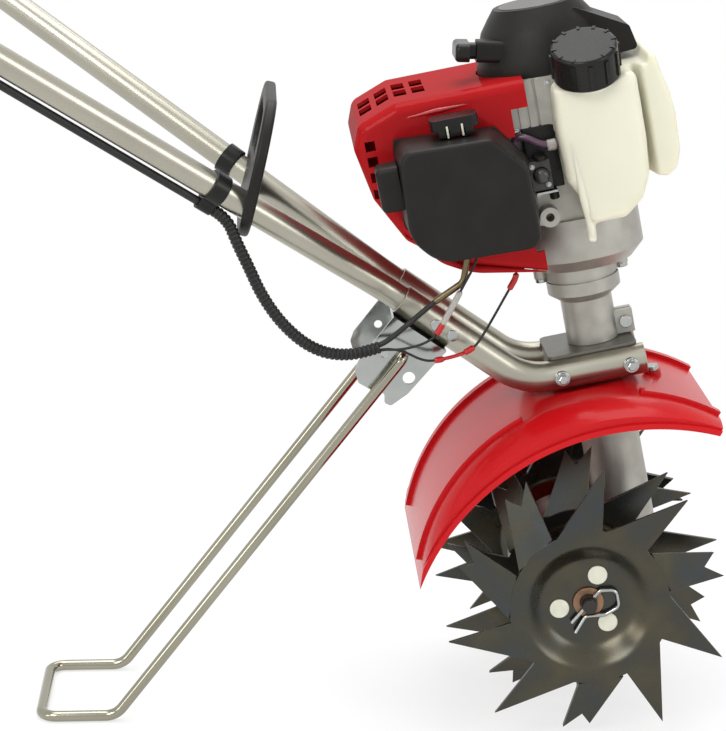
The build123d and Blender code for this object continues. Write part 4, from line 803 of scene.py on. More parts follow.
def eased_ends(points: list[Vector], radius: float, ease: float) -> tuple[list[Vector], list[float]]:
    """Take the sharp edge off both ends of a tube.

    Args:
        points: The tube's centre line.
        radius: Its radius.
        ease: Size of the eased edge.

    Returns:
        The centre line with a point added near each end, and the radius at each point.
    """
    first = points[0] + (points[1] - points[0]).normalized() * ease
    last = points[-1] + (points[-2] - points[-1]).normalized() * ease
    line = [points[0], first, *points[1:-1], last, points[-1]]
    radii = [radius] * len(line)
    radii[0] -= ease
    radii[-1] -= ease
    return line, radii


def tube_mesh(points: list[Vector], radii: list[float], sides: int, bore: float = 0.0,
              work: bmesh.types.BMesh | None = None) -> bmesh.types.BMesh:
    """A round tube along points, closed or with a bore.

    Args:
        points: Its centre line.
        radii: Its radius at each point.
        sides: Faces round it.
        bore: Radius of the bore; 0 closes the ends.
        work: A mesh that the tube is added to, if any.

    Returns:
        The mesh, in the units of the points.
    """
    if work is None:
        work = bmesh.new()
    turns = [math.tau * side / sides for side in range(sides)]
    across = (points[1] - points[0]).orthogonal().normalized()
    rings = []
    inner = []
    for index, spot in enumerate(points):
        before = points[max(index - 1, 0)]
        after = points[min(index + 1, len(points) - 1)]
        forward = (after - before).normalized()
        across = (across - forward * across.dot(forward)).normalized()
        other = forward.cross(across)
        arms = [math.cos(turn) * across + math.sin(turn) * other for turn in turns]
        rings.append([work.verts.new(spot + radii[index] * arm) for arm in arms])
        if bore:
            inner.append([work.verts.new(spot + bore * arm) for arm in arms])
    if bore:
        rings = [*rings, *inner[::-1], rings[0]]
    else:
        work.faces.new(rings[0][::-1])
        work.faces.new(rings[-1])
    join_rings(work, rings)
    return work


def bead_mesh(corners: tuple[Point, ...], bends: tuple[float, ...], radius: float,
              tips: tuple[float, float], sides: int) -> bmesh.types.BMesh:
    """A round bead along a bent line, with narrow tips.

    Args:
        corners: Corners of its centre line, with both ends.
        bends: Bend radius at each inner corner.
        radius: The bead's radius.
        tips: Its radius at both ends.
        sides: Faces round it.

    Returns:
        The mesh, in the units of the corners.
    """
    line = bent_path([Vector(spot) for spot in corners], bends, steps=8)
    radii = [radius] * len(line)
    radii[0], radii[-1] = tips
    return tube_mesh(line, radii, sides)


def rounded_outline(corners: list[Vector], radii: list[float], inset: float, steps: int) -> list[Vector]:
    """A flat clockwise outline drawn in by an inset, with its corners rounded.

    Args:
        corners: Corners of the full outline.
        radii: Radius of each corner before the inset.
        inset: How far it is drawn in.
        steps: Steps in each corner.

    Returns:
        The outline's points.
    """
    least_radius = 0.6
    count = len(corners)
    ways = [(corners[(index + 1) % count] - corners[index]).normalized() for index in range(count)]
    points = []
    for index, corner in enumerate(corners):
        before, after = ways[index - 1], ways[index]
        inward = Vector((before.y, -before.x)) + Vector((after.y, -after.x))
        drawn = corner + inward * (inset / (1.0 + before.dot(after)))
        radius = max(radii[index] - inset, least_radius)
        half_turn = before.angle(after) / 2
        middle = drawn + inward.normalized() * (radius / math.cos(half_turn))
        start = Vector((-before.y, before.x))
        end = Vector((-after.y, after.x))
        for step in range(steps + 1):
            share = step / steps
            points.append(middle + radius * start.slerp(end, share))
    return points


def rounded_block(low: Point, high: Point, edge: float, square_end: bool = False) -> bmesh.types.BMesh:
    """A moulded block with rounded edges.

    Args:
        low: Its lowest corner.
        high: Its highest corner.
        edge: Radius of the edges.
        square_end: True leaves the edges of the +X end square, where it joins a wall.

    Returns:
        The mesh, in the units of the corners.
    """
    work = bmesh.new()
    bmesh.ops.create_cube(work, size=1.0)
    size = Vector(high) - Vector(low)
    bmesh.ops.scale(work, vec=size, verts=work.verts)
    bmesh.ops.translate(work, vec=(Vector(low) + Vector(high)) / 2, verts=work.verts)
    rims = [rim for rim in work.edges
            if not square_end or min(vertex.co.x for vertex in rim.verts) < high[0] - edge]
    bmesh.ops.bevel(work, geom=rims, offset=edge, segments=4, affect="EDGES", profile=0.5)
    return work


def turned_mesh(profile: list[tuple[float, float]], sides: int) -> bmesh.types.BMesh:
    """A turned piece about Z.

    Args:
        profile: Radius and height of each step, with both ends on the axis.
        sides: Faces round it.

    Returns:
        The mesh, in the units of the profile.
    """
    work = bmesh.new()
    spots = [work.verts.new((radius, 0.0, height)) for radius, height in profile]
    edges = [work.edges.new(pair) for pair in zip(spots, spots[1:])]
    bmesh.ops.spin(work, geom=spots + edges, cent=(0, 0, 0), axis=(0, 0, 1), angle=math.tau, steps=sides)
    bmesh.ops.remove_doubles(work, verts=work.verts, dist=1e-4)
    return work


class NodeSketch:
    """A geometry node tree that is put together step by step."""

    sharp_degrees: float = 35.0

    def __init__(self, name: str) -> None:
        """Start a tree with a geometry input and output.

        Args:
            name: The tree's name.
        """
        self.tree = bpy.data.node_groups.new(name, "GeometryNodeTree")
        self.tree.interface.new_socket("Geometry", in_out="INPUT", socket_type="NodeSocketGeometry")
        self.tree.interface.new_socket("Geometry", in_out="OUTPUT", socket_type="NodeSocketGeometry")
        self.enter = self.tree.nodes.new("NodeGroupInput")
        self.leave = self.tree.nodes.new("NodeGroupOutput")
        self.identifiers: dict[str, str] = {}

    def size(self, name: str, kind: str = "NodeSocketFloat") -> bpy.types.NodeSocket:
        """Add a named input.

        Args:
            name: The input's name.
            kind: The socket type.

        Returns:
            The socket inside the tree.
        """
        made = self.tree.interface.new_socket(name, in_out="INPUT", socket_type=kind)
        self.identifiers[name] = made.identifier
        return self.enter.outputs[name]

    def node(self, kind: str, settings: dict[str, object] | None = None,
             **links: object) -> bpy.types.Node:
        """Add a node, and set or link its inputs."""
        return add_node(self.tree, kind, settings, **links)

    def math(self, operation: str, first: object, second: object = 0.0) -> bpy.types.NodeSocket:
        """Add a sum of two numbers."""
        return add_math(self.tree, operation, first, second)

    def end(self, geometry: bpy.types.NodeSocket, finish: bpy.types.NodeSocket) -> None:
        """Close the tree with realised instances and their material.

        Args:
            geometry: What the tree made.
            finish: The material input.
        """
        real = self.node("GeometryNodeRealizeInstances", Geometry=geometry)
        smooth = self.node("GeometryNodeSetShadeSmooth", Geometry=real.outputs["Geometry"])
        painted = self.node("GeometryNodeSetMaterial", Geometry=smooth.outputs["Geometry"], Material=finish)
        self.tree.links.new(painted.outputs["Geometry"], self.leave.inputs["Geometry"])

    def run(self, shop: Workshop, name: str, base: bpy.types.Object,
            values: dict[str, object]) -> bpy.types.Object:
        """Apply the tree to an object and keep the result as a plain mesh.

        Args:
            shop: The workshop.
            name: The new piece's name.
            base: The object that the tree starts from, which is removed.
            values: Input values by name.

        Returns:
            The plain mesh piece.
        """
        modifier = base.modifiers.new("sketch", "NODES")
        modifier.node_group = self.tree
        for key, value in values.items():
            modifier[self.identifiers[key]] = value
        mesh = baked_mesh(base)
        mesh.set_sharp_from_angle(angle=math.radians(self.sharp_degrees))
        return shop.link(name, mesh)


def ribbed_tube_tree() -> NodeSketch:
    """A tree that turns a line into a ribbed conduit.

    Returns:
        The tree, with inputs for rib pitch, crest and groove radius and the material.
    """
    sketch = NodeSketch("ribbed_conduit")
    pitch = sketch.size("Rib Pitch")
    crest = sketch.size("Crest Radius")
    groove = sketch.size("Groove Radius")
    finish = sketch.size("Material", "NodeSocketMaterial")
    steps_a_rib = 6
    groove_steps = 1.5
    sides = 20
    length = sketch.node("GeometryNodeCurveLength", Curve=sketch.enter.outputs["Geometry"])
    ribs = sketch.math("FLOOR", sketch.math("DIVIDE", length.outputs["Length"], pitch))
    count = sketch.math("ADD", sketch.math("MULTIPLY", ribs, steps_a_rib), 1)
    line = sketch.node("GeometryNodeResampleCurve", Curve=sketch.enter.outputs["Geometry"], Count=count)
    step = sketch.math("MODULO", sketch.node("GeometryNodeInputIndex").outputs["Index"], steps_a_rib)
    low = sketch.math("LESS_THAN", step, groove_steps)
    drop = sketch.math("MULTIPLY", low, sketch.math("SUBTRACT", crest, groove))
    radius = sketch.math("SUBTRACT", crest, drop)
    section = sketch.node("GeometryNodeCurvePrimitiveCircle", Resolution=sides, Radius=1.0)
    tube = sketch.node("GeometryNodeCurveToMesh", Curve=line.outputs["Curve"],
                       Profile_Curve=section.outputs["Curve"], Scale=radius, Fill_Caps=True)
    sketch.end(tube.outputs["Mesh"], finish)
    return sketch


def tooth_ring_tree() -> NodeSketch:
    """A tree that sets small blocks in a ring about Z, each along its radius.

    Returns:
        The tree, with inputs for the count, the ring's radius, a tooth's size and the material.
    """
    sketch = NodeSketch("tooth_ring")
    count = sketch.size("Teeth", "NodeSocketInt")
    radius = sketch.size("Ring Radius")
    size = sketch.size("Tooth Size", "NodeSocketVector")
    finish = sketch.size("Material", "NodeSocketMaterial")
    ring = sketch.node("GeometryNodeMeshCircle", Vertices=count, Radius=radius)
    tooth = sketch.node("GeometryNodeMeshCube", Size=size)
    place = sketch.node("GeometryNodeInputPosition")
    turn = sketch.node("FunctionNodeAlignRotationToVector", {"axis": "X"}, Vector=place.outputs["Position"])
    teeth = sketch.node("GeometryNodeInstanceOnPoints", Points=ring.outputs["Mesh"],
                        Instance=tooth.outputs["Mesh"], Rotation=turn.outputs["Rotation"])
    sketch.end(teeth.outputs["Instances"], finish)
    return sketch


def screw_head_tree() -> NodeSketch:
    """A tree that sets a hexagon crown on a round washer at every point of a mesh.

    Returns:
        The tree, with an input for the material; points carry "facing" and "size".
    """
    sketch = NodeSketch("screw_heads")
    finish = sketch.size("Material", "NodeSocketMaterial")
    washer_rise = 0.22
    crown_rise = 0.62
    cones = (
        {"Vertices": 28, "Radius_Bottom": 1.0, "Radius_Top": 0.93, "Depth": washer_rise},
        {"Vertices": 6, "Radius_Bottom": 0.76, "Radius_Top": 0.72, "Depth": crown_rise},
        {"Vertices": 6, "Radius_Bottom": 0.72, "Radius_Top": 0.60, "Depth": 0.08},
    )
    head = sketch.node("GeometryNodeJoinGeometry")
    height = 0.0
    for sizes in cones:
        cone = sketch.node("GeometryNodeMeshCone", **sizes)
        lifted = sketch.node("GeometryNodeTransform", Geometry=cone.outputs["Mesh"],
                             Translation=(0.0, 0.0, height))
        sketch.tree.links.new(lifted.outputs["Geometry"], head.inputs["Geometry"])
        height += sizes["Depth"]
    facing = sketch.node("GeometryNodeInputNamedAttribute", {"data_type": "FLOAT_VECTOR"}, Name="facing")
    size = sketch.node("GeometryNodeInputNamedAttribute", {"data_type": "FLOAT"}, Name="size")
    turn = sketch.node("FunctionNodeAlignRotationToVector", {"axis": "Z"},
                       Vector=facing.outputs["Attribute"])
    placed = sketch.node("GeometryNodeInstanceOnPoints", Points=sketch.enter.outputs["Geometry"],
                         Instance=head.outputs["Geometry"], Rotation=turn.outputs["Rotation"],
                         Scale=size.outputs["Attribute"])
    sketch.end(placed.outputs["Instances"], finish)
    return sketch


@dataclass(frozen=True)
class Assembly:
    """One sub-assembly, or the studio round them, and the workshop that it is made in."""

    shop: Workshop


@dataclass(frozen=True)
class TineSet(Assembly):
    """Four pressed star tines on their axle."""

    dressings: tuple[Dressing, ...] = (
        Dressing("tine_hubs", HUB_STEEL, 0.5),
        Dressing("tine_rivets", RIVET_STEEL, 0.5),
        Dressing("axle", DARK_STEEL, 0.4),
        Dressing("hairpin_clips", ZINC_STEEL, 0.0, 60.0),
        Dressing("worm_wheel", BRONZE, 0.0),
    )
    tines: tuple[Dressing, ...] = (
        Dressing("tine_outer_right", TINE_STEEL, 0.5),
        Dressing("tine_inner_right", TINE_STEEL, 0.5),
        Dressing("tine_inner_left", TINE_STEEL, 0.5),
        Dressing("tine_outer_left", TINE_STEEL, 0.5),
    )
    dish_rims: tuple[tuple[float, float], ...] = ((45.0, 34.0), (44.0, 33.0))
    dish_bend: float = 5.0
    dish_steps: int = 12
    dish_slack: float = 0.5
    rim_slack: float = 0.3
    flat_share: float = 0.95

    def build(self) -> None:
        """Dress the tines, hubs and axle."""
        for dressing in self.tines:
            self.shop.dress(dressing, self.round_dish)
        self.shop.dress_all(self.dressings)

    def round_dish(self, work: bmesh.types.BMesh) -> None:
        """Press the dish's sharp cone into one soft bend on each face of the sheet.

        Args:
            work: A tine's merged copy, in machine millimetres.
        """
        low = self.dish_rims[-1][1] - self.dish_slack
        high = self.dish_rims[0][0] + self.dish_slack
        cone = [face for face in work.faces
                if abs(face.normal.y) < self.flat_share
                and all(low < math.hypot(vertex.co.x, vertex.co.z) < high for vertex in face.verts)]
        bmesh.ops.delete(work, geom=cone, context="FACES")
        for outer_radius, inner_radius in self.dish_rims:
            outer = self.rim(work, outer_radius, outer_radius + self.dish_bend)
            inner = self.rim(work, inner_radius, inner_radius - self.dish_bend)
            self.press_dish(work, outer, inner)
        bmesh.ops.recalc_face_normals(work, faces=work.faces)

    def rim(self, work: bmesh.types.BMesh, radius: float, new_radius: float) -> list[bmesh.types.BMVert]:
        """Find one rim of the dish and move it out or in on its flat.

        Args:
            work: A tine's merged copy.
            radius: The rim's radius.
            new_radius: Its radius afterwards.

        Returns:
            The rim's vertices in order round the axle.
        """
        found = [vertex for vertex in work.verts
                 if abs(math.hypot(vertex.co.x, vertex.co.z) - radius) < self.rim_slack]
        found.sort(key=lambda vertex: math.atan2(vertex.co.z, vertex.co.x))
        for vertex in found:
            vertex.co.x *= new_radius / radius
            vertex.co.z *= new_radius / radius
        return found

    def press_dish(self, work: bmesh.types.BMesh, outer: list[bmesh.types.BMVert],
                   inner: list[bmesh.types.BMVert]) -> None:
        """Draw the bend between two rims.

        Args:
            work: A tine's merged copy.
            outer: The outer rim.
            inner: The inner rim.
        """
        rings = [outer]
        start = math.hypot(outer[0].co.x, outer[0].co.z)
        stop = math.hypot(inner[0].co.x, inner[0].co.z)
        for step in range(1, self.dish_steps):
            share = step / self.dish_steps
            scale = 1.0 + (stop / start - 1.0) * share
            y = outer[0].co.y + (inner[0].co.y - outer[0].co.y) * smooth_step(share)
            rings.append([work.verts.new((spot.co.x * scale, y, spot.co.z * scale)) for spot in outer])
        join_rings(work, rings)
        last = [work.edges.get((rings[-1][index - 1], rings[-1][index])) for index in range(len(outer))]
        first = [work.edges.get((inner[index - 1], inner[index])) for index in range(len(inner))]
        bmesh.ops.bridge_loops(work, edges=[*last, *first])


@dataclass(frozen=True)
class GearDrive(Assembly):
    """Cast gear housing, worm shaft and clutch."""

    dressings: tuple[Dressing, ...] = (
        Dressing("gear_housing", CAST_ALUMINIUM, 0.6),
        Dressing("gear_cover", CAST_ALUMINIUM, 0.6),
        Dressing("bearings", MACHINED_STEEL, 0.0),
        Dressing("worm_shaft", MACHINED_STEEL, 0.0),
        Dressing("clutch_drum", DARK_STEEL, 0.3),
        Dressing("clutch_shoes", DARK_STEEL, 0.3),
        Dressing("clutch_housing", CAST_ALUMINIUM, 0.6),
    )

    def build(self) -> None:
        """Dress the drive's castings and shafts."""
        self.shop.dress_all(self.dressings)


@dataclass(frozen=True)
class Engine(Assembly):
    """Crankcase, cylinder, red cover, muffler and the spinning parts.

    Blocks are two corners and the radius of the edges; round fittings are two ends and the radius.
    """

    dressings: tuple[Dressing, ...] = (
        Dressing("crankcase", CAST_ALUMINIUM, 0.8),
        Dressing("cylinder", CAST_ALUMINIUM, 0.3),
        Dressing("crankshaft", MACHINED_STEEL, 0.3),
        Dressing("flywheel", CAST_ALUMINIUM, 0.3),
        Dressing("spark_plug", RUBBER, 0.5),
        Dressing("engine_cover", RED_PAINT, 0.8, 38.0, 3),
        Dressing("muffler", DARK_STEEL, 0.8),
        Dressing("muffler_guard", BLACK_PLASTIC, 0.6),
        Dressing("primer_bulb", PRIMER_SMOKE, 0.0, 60.0),
        Dressing("choke_lever", BLACK_PLASTIC, 0.25),
    )
    carburettor: Dressing = Dressing("carburettor", DARK_CAST, 0.5)
    ridge: tuple[Point, ...] = ((-64.0, -61.4, 360.6), (-40.0, -61.6, 361.4), (-15.0, -61.4, 361.8))
    ridge_bends: tuple[float, ...] = (200.0,)
    ridge_radius: float = 1.9
    lip: tuple[Point, ...] = (
        (-79.0, -60.4, 281.0), (-53.0, -60.6, 256.6), (-37.0, -60.6, 247.4), (14.5, -60.6, 235.0),
    )
    lip_bends: tuple[float, ...] = (30.0, 60.0)
    lip_radius: float = 2.7
    bead_tips: tuple[float, float] = (0.4, 0.4)
    pale_foot_top: float = 291.0
    # A black plate set in the gap between carburettor and tank: its black is painted shade for that dark
    # gap.
    gap_shade_plate: tuple[Point, Point, float] = ((15.0, -48.6, 290.0), (39.0, -45.0, 335.0), 1.2)
    lever_plate: tuple[Point, Point, float] = ((17.5, -57.5, 288.2), (33.0, -44.0, 290.2), 0.5)
    lever_knob: tuple[Point, Point, float] = ((30.0, -55.0, 283.5), (30.0, -55.0, 288.4), 3.4)
    hose_collar: tuple[Point, Point, float] = ((30.5, -58.0, 322.0), (37.0, -58.0, 322.0), 4.0)
    turned_edge: float = 0.7

    def build(self) -> None:
        """Dress the engine, and add the ridge and lip of its cover and the small fittings."""
        self.shop.dress_all(self.dressings)
        self.build_carburettor()
        beads = (
            ("cover_ridge", self.ridge, self.ridge_bends, self.ridge_radius, RIDGE_RED),
            ("cover_lip", self.lip, self.lip_bends, self.lip_radius, RED_PAINT),
        )
        for name, corners, bends, radius, finish in beads:
            bead = bead_mesh(corners, bends, radius, self.bead_tips, sides=24)
            self.shop.add_piece(name, bead, finish, sharp_degrees=50.0)
        self.build_fittings()

    def build_carburettor(self) -> None:
        """Dress the carburettor, with its foot in paler metal."""
        carburettor = self.shop.dress(self.carburettor)
        carburettor.data.materials.append(CAST_ALUMINIUM.material())
        upright = self.shop.machine.matrix().inverted()
        for face in carburettor.data.polygons:
            if (upright @ face.center).z < self.pale_foot_top:
                face.material_index = 1

    def build_fittings(self) -> None:
        """Add the throttle lever's plate and knob, a black plate of painted shade in the gap by the
        carburettor, and the collar of the fuel hose.
        """
        self.shop.add_piece("throttle_lever_plate", rounded_block(*self.lever_plate), ZINC_STEEL)
        # Painted shade: a black plate that darkens the gap between carburettor and tank.
        self.shop.add_piece("carburettor_gap_shade_plate", rounded_block(*self.gap_shade_plate), SMOOTH_BLACK)
        for name, (start, end, radius), finish in (
            ("throttle_lever_knob", self.lever_knob, SMOOTH_BLACK),
            ("hose_collar", self.hose_collar, CLEAR_SLEEVE),
        ):
            points, radii = eased_ends([Vector(start), Vector(end)], radius, self.turned_edge)
            self.shop.add_piece(name, tube_mesh(points, radii, sides=28), finish, sharp_degrees=35.0)


@dataclass(frozen=True)
class AirCleaner(Assembly):
    """Air cleaner base, cover, filter and latch; outlines are x and z, clockwise from the top rear."""

    outline: tuple[tuple[float, float], ...] = (
        (-72.0, 348.5), (-4.0, 343.8), (15.0, 319.0), (15.5, 272.0), (8.0, 261.0), (-60.0, 265.0),
        (-77.0, 288.0), (-75.0, 338.0),
    )
    face: tuple[tuple[float, float], ...] = (
        (-68.5, 346.0), (-10.0, 344.0), (11.0, 320.5), (11.8, 270.5), (6.0, 264.5), (-58.5, 266.5),
        (-75.5, 286.0), (-73.0, 338.0),
    )
    corner_radii: tuple[float, ...] = (7.0, 9.0, 12.0, 8.0, 8.0, 26.0, 26.0, 7.0)
    cover_back: float = -71.2
    cover_front: float = -112.0
    cover_wall: float = 2.3
    front_round: float = 3.0
    face_rim: float = 0.8
    rim_edge: float = 0.4
    inner_round: float = 2.0
    round_steps: int = 6
    corner_steps: int = 7
    tab: tuple[Point, Point] = ((-90.0, -98.0, 304.5), (-75.0, -72.5, 336.0))
    tab_round: float = 4.0
    latch_shift: Point = (0.0, -3.0, -4.6)
    latch_feet: tuple[tuple[float, float], ...] = ((-43.0, -38.2), (-35.2, -27.9), (-24.8, -19.1))
    # The two pale strips between the latch's feet are painted highlights: bright lines of reflected light
    # drawn as pale parts.
    latch_glint_lines: tuple[float, float] = (-36.7, -26.4)
    foot_span: tuple[float, float] = (346.6, 352.4)
    glint_span: tuple[float, float] = (346.4, 354.6)
    latch_near: float = -91.0
    foot_depth: float = 9.0
    foot_edge: float = 0.7
    glint_half: float = 0.7
    glint_proud: float = 0.5
    glint_depth: float = 2.5
    glint_edge: float = 0.3
    foam_share: float = 0.86
    foam_back: float = -71.0
    foam_thickness: float = 20.0
    foam_edge: float = 2.0
    foam_crown: float = 1.5
    base: Dressing = Dressing("air_cleaner_base", BLACK_PLASTIC, 0.6)
    latch: Dressing = Dressing("air_cleaner_latch", SMOOTH_BLACK, 1.0, edge_steps=3)

    def build(self) -> None:
        """Dress the base and latch, mould the cover and cut the foam."""
        self.shop.dress(self.base, self.lower_base)
        self.shop.dress(self.latch, self.lower_latch)
        self.build_cover()
        self.build_latch_feet()
        self.build_foam()

    def lower_base(self, work: bmesh.types.BMesh) -> None:
        """Bring the base's top edge down to the cover's.

        Args:
            work: The base's merged copy, in machine millimetres.
        """
        rear, front = self.outline[0], self.outline[1]
        for vertex in work.verts:
            share = (vertex.co.x - rear[0]) / (front[0] - rear[0])
            vertex.co.z = min(vertex.co.z, rear[1] + (front[1] - rear[1]) * share)

    def lower_latch(self, work: bmesh.types.BMesh) -> None:
        """Set the latch down on the cover."""
        bmesh.ops.translate(work, vec=self.latch_shift, verts=work.verts)

    def ring(self, work: bmesh.types.BMesh, y: float, inset: float) -> list[bmesh.types.BMVert]:
        """Draw one ring of the cover, between its back outline and its face.

        Args:
            work: The mesh that is drawn.
            y: The ring's place across the machine.
            inset: How far the ring is drawn in.

        Returns:
            The ring's vertices.
        """
        share = (y - self.cover_back) / (self.cover_front - self.cover_back)
        corners = [Vector(back).lerp(Vector(front), share) for back, front in zip(self.outline, self.face)]
        points = rounded_outline(corners, list(self.corner_radii), inset, self.corner_steps)
        return [work.verts.new((point.x, y, point.y)) for point in points]

    def build_cover(self) -> None:
        """Mould the hollow cover with its rounded front edge and its finger tab."""
        stations = [(self.cover_front, self.front_round + self.face_rim)]
        for step in range(self.round_steps + 1):
            turn = math.pi / 2 * (1.0 - step / self.round_steps)
            y = self.cover_front + self.front_round * (1.0 - math.sin(turn))
            stations.append((y, self.front_round * (1.0 - math.cos(turn))))
        stations += [
            (self.cover_back - self.rim_edge, 0.0),
            (self.cover_back, self.rim_edge),
            (self.cover_back, self.cover_wall),
            (self.cover_front + self.cover_wall + self.inner_round, self.cover_wall),
            (self.cover_front + self.cover_wall, self.cover_wall + self.inner_round),
        ]
        work = rounded_block(*self.tab, self.tab_round, square_end=True)
        rings = [self.ring(work, y, inset) for y, inset in stations]
        join_rings(work, rings)
        work.faces.new(rings[0])
        work.faces.new(rings[-1][::-1])
        body = self.shop.body_of["air_cleaner_cover"]
        self.shop.add_piece("air_cleaner_cover_shell", work, BLACK_PLASTIC, body, ("air_cleaner_cover",),
                            sharp_degrees=35.0)

    def build_latch_feet(self) -> None:
        """Add the latch's black feet, and between them two pale strips that are painted highlights."""
        body = self.shop.body_of["air_cleaner_latch"]
        low, high = self.foot_span
        back = self.latch_near + self.foot_depth
        for index, (rear, front) in enumerate(self.latch_feet):
            foot = rounded_block((rear, self.latch_near, low), (front, back, high), self.foot_edge)
            self.shop.add_piece(f"latch_foot_{index}", foot, SMOOTH_BLACK, body)
        low, high = self.glint_span
        near = self.latch_near - self.glint_proud
        back = near + self.glint_depth
        half = self.glint_half
        # Pale rivet zinc strips: painted highlight lines, not real parts of the latch.
        for index, x in enumerate(self.latch_glint_lines):
            glint_strip = rounded_block((x - half, near, low), (x + half, back, high), self.glint_edge)
            self.shop.add_piece(f"latch_glint_{index}", glint_strip, RIVET_STEEL, body)

    def build_foam(self) -> None:
        """Cut the foam element: the cleaner's outline drawn in, with rounded edges and a swollen face."""
        total = Vector((sum(x for x, z in self.outline), sum(z for x, z in self.outline)))
        middle = total / len(self.outline)
        spots = [middle + (Vector(spot) - middle) * self.foam_share for spot in self.outline]
        work = bmesh.new()
        rings = []
        for y in (self.foam_back, self.foam_back - self.foam_thickness):
            rings.append([work.verts.new((spot.x, y, spot.y)) for spot in spots])
        join_rings(work, rings)
        work.faces.new(rings[0])
        work.faces.new(rings[1][::-1])
        bmesh.ops.recalc_face_normals(work, faces=work.faces)
        bmesh.ops.bevel(work, geom=work.edges[:], offset=self.foam_edge, segments=3, affect="EDGES",
                        profile=0.6)
        bmesh.ops.recalc_face_normals(work, faces=work.faces)
        front = min(work.faces, key=lambda face: face.calc_center_median().y)
        bmesh.ops.poke(work, faces=[front], offset=self.foam_crown)
        foam = self.shop.add_piece("air_filter_foam", work, FOAM, replaces=("air_filter",),
                                   sharp_degrees=40.0)


@dataclass(frozen=True)
class FuelSystem(Assembly):
    """Milky tank, ribbed cap and the short fuel hose."""

    hose_radius: float = 2.6
    hose_route: tuple[Point, ...] = (
        (37.8, -58.0, 322.0), (28.0, -58.0, 322.0), (16.0, -55.0, 331.0), (8.0, -52.0, 330.0),
        (8.0, -52.0, 320.2),
    )
    soft_voxel: float = 1.5
    soft_factor: float = 0.5
    soft_steps: int = 12
    hump_start: float = 98.0
    hump_share: float = 0.80
    hump_swell: float = 14.0
    hump_ease: float = 8.0
    swell_start: float = -20.0
    swell_ease: float = 20.0
    rib_route: tuple[Point, ...] = (
        (50.4, -65.5, 251.5), (50.2, -67.4, 266.0), (48.0, -72.2, 282.0), (44.6, -72.2, 348.0),
    )
    rib_bends: tuple[float, ...] = (40.0, 60.0)
    rib_radius: float = 3.0
    rib_tips: tuple[float, float] = (1.8, 0.9)
    cap: Dressing = Dressing("fuel_cap", SMOOTH_BLACK, 0.6)
    cap_place: Point = (65.5, -62.0, 365.0)
    cap_tilt: float = 24.0
    cap_top: float = 25.5
    cap_radius: float = 23.0
    teeth: int = 12
    tooth_size: Point = (3.4, 2.0, 1.6)
    tooth_inset: float = 0.6
    tooth_sink: float = 0.3

    def build(self) -> None:
        """Blow the tank, dress the cap and lay the hose."""
        self.build_tank()
        self.shop.dress(self.cap)
        self.build_cap_teeth()
        route = [self.shop.machine.point(spot) for spot in self.hose_route]
        hose = self.shop.nurbs("fuel_hose", route, self.hose_radius)
        self.shop.finish_piece(hose, FUEL_HOSE, replaces=("fuel_line",))
        run_length(self.shop.line_points(route))

    def build_tank(self) -> None:
        """Give the tank the soft edges of a blow moulding and add its parting rib."""
        base = self.shop.link("tank_raw", smooth_mesh("tank_raw", self.shop.merged_copy("fuel_tank")))
        even = base.modifiers.new("even", "REMESH")
        even.mode = "VOXEL"
        even.voxel_size = self.soft_voxel * MM
        soften = base.modifiers.new("soften", "SMOOTH")
        soften.factor = self.soft_factor
        soften.iterations = self.soft_steps
        mesh = baked_mesh(base)
        machine = self.shop.machine.matrix()
        mesh.transform(machine.inverted())
        for vertex in mesh.vertices:
            vertex.co = self.swollen(vertex.co)
        mesh.transform(machine)
        mesh.shade_smooth()
        body = self.shop.body_of["fuel_tank"]
        self.shop.finish_piece(self.shop.link("fuel_tank_skin", mesh), TANK_PLASTIC, body, ("fuel_tank",))
        rib = bead_mesh(self.rib_route, self.rib_bends, self.rib_radius, self.rib_tips, sides=28)
        self.shop.add_piece("tank_rib", rib, TANK_PLASTIC, body, sharp_degrees=60.0)

    def swollen(self, spot: Vector) -> Vector:
        """Shorten the tank's hump and swell it towards the near lobe.

        Args:
            spot: A point of the tank, in machine millimetres.

        Returns:
            Where that point goes.
        """
        if spot.x < self.hump_start:
            return spot
        ahead = min(1.0, (spot.x - self.hump_start) / self.hump_ease)
        near = min(1.0, max(0.0, (self.swell_start - spot.y) / self.swell_ease))
        x = self.hump_start + (spot.x - self.hump_start) * self.hump_share
        swell = self.hump_swell * smooth_step(ahead) * near
        return Vector((x, spot.y - swell, spot.z))

    def build_cap_teeth(self) -> None:
        """Set the teeth round the cap's top edge."""
        base = self.shop.link("cap_teeth_base", bpy.data.meshes.new("cap_teeth_base"))
        values = {
            "Teeth": self.teeth,
            "Ring Radius": self.cap_radius - self.tooth_size[0] / 2 - self.tooth_inset,
            "Tooth Size": self.tooth_size,
            "Material": SMOOTH_BLACK.material(),
        }
        ring = tooth_ring_tree().run(self.shop, "cap_teeth", base, values)
        tilt = Matrix.Rotation(math.radians(self.cap_tilt), 4, "X")
        lift = Matrix.Translation((0.0, 0.0, self.cap_top - self.tooth_sink))
        ring.data.transform(self.shop.machine.matrix() @ Matrix.Translation(self.cap_place) @ tilt @ lift)
        self.shop.finish_piece(ring, SMOOTH_BLACK, Body.CAP.value)


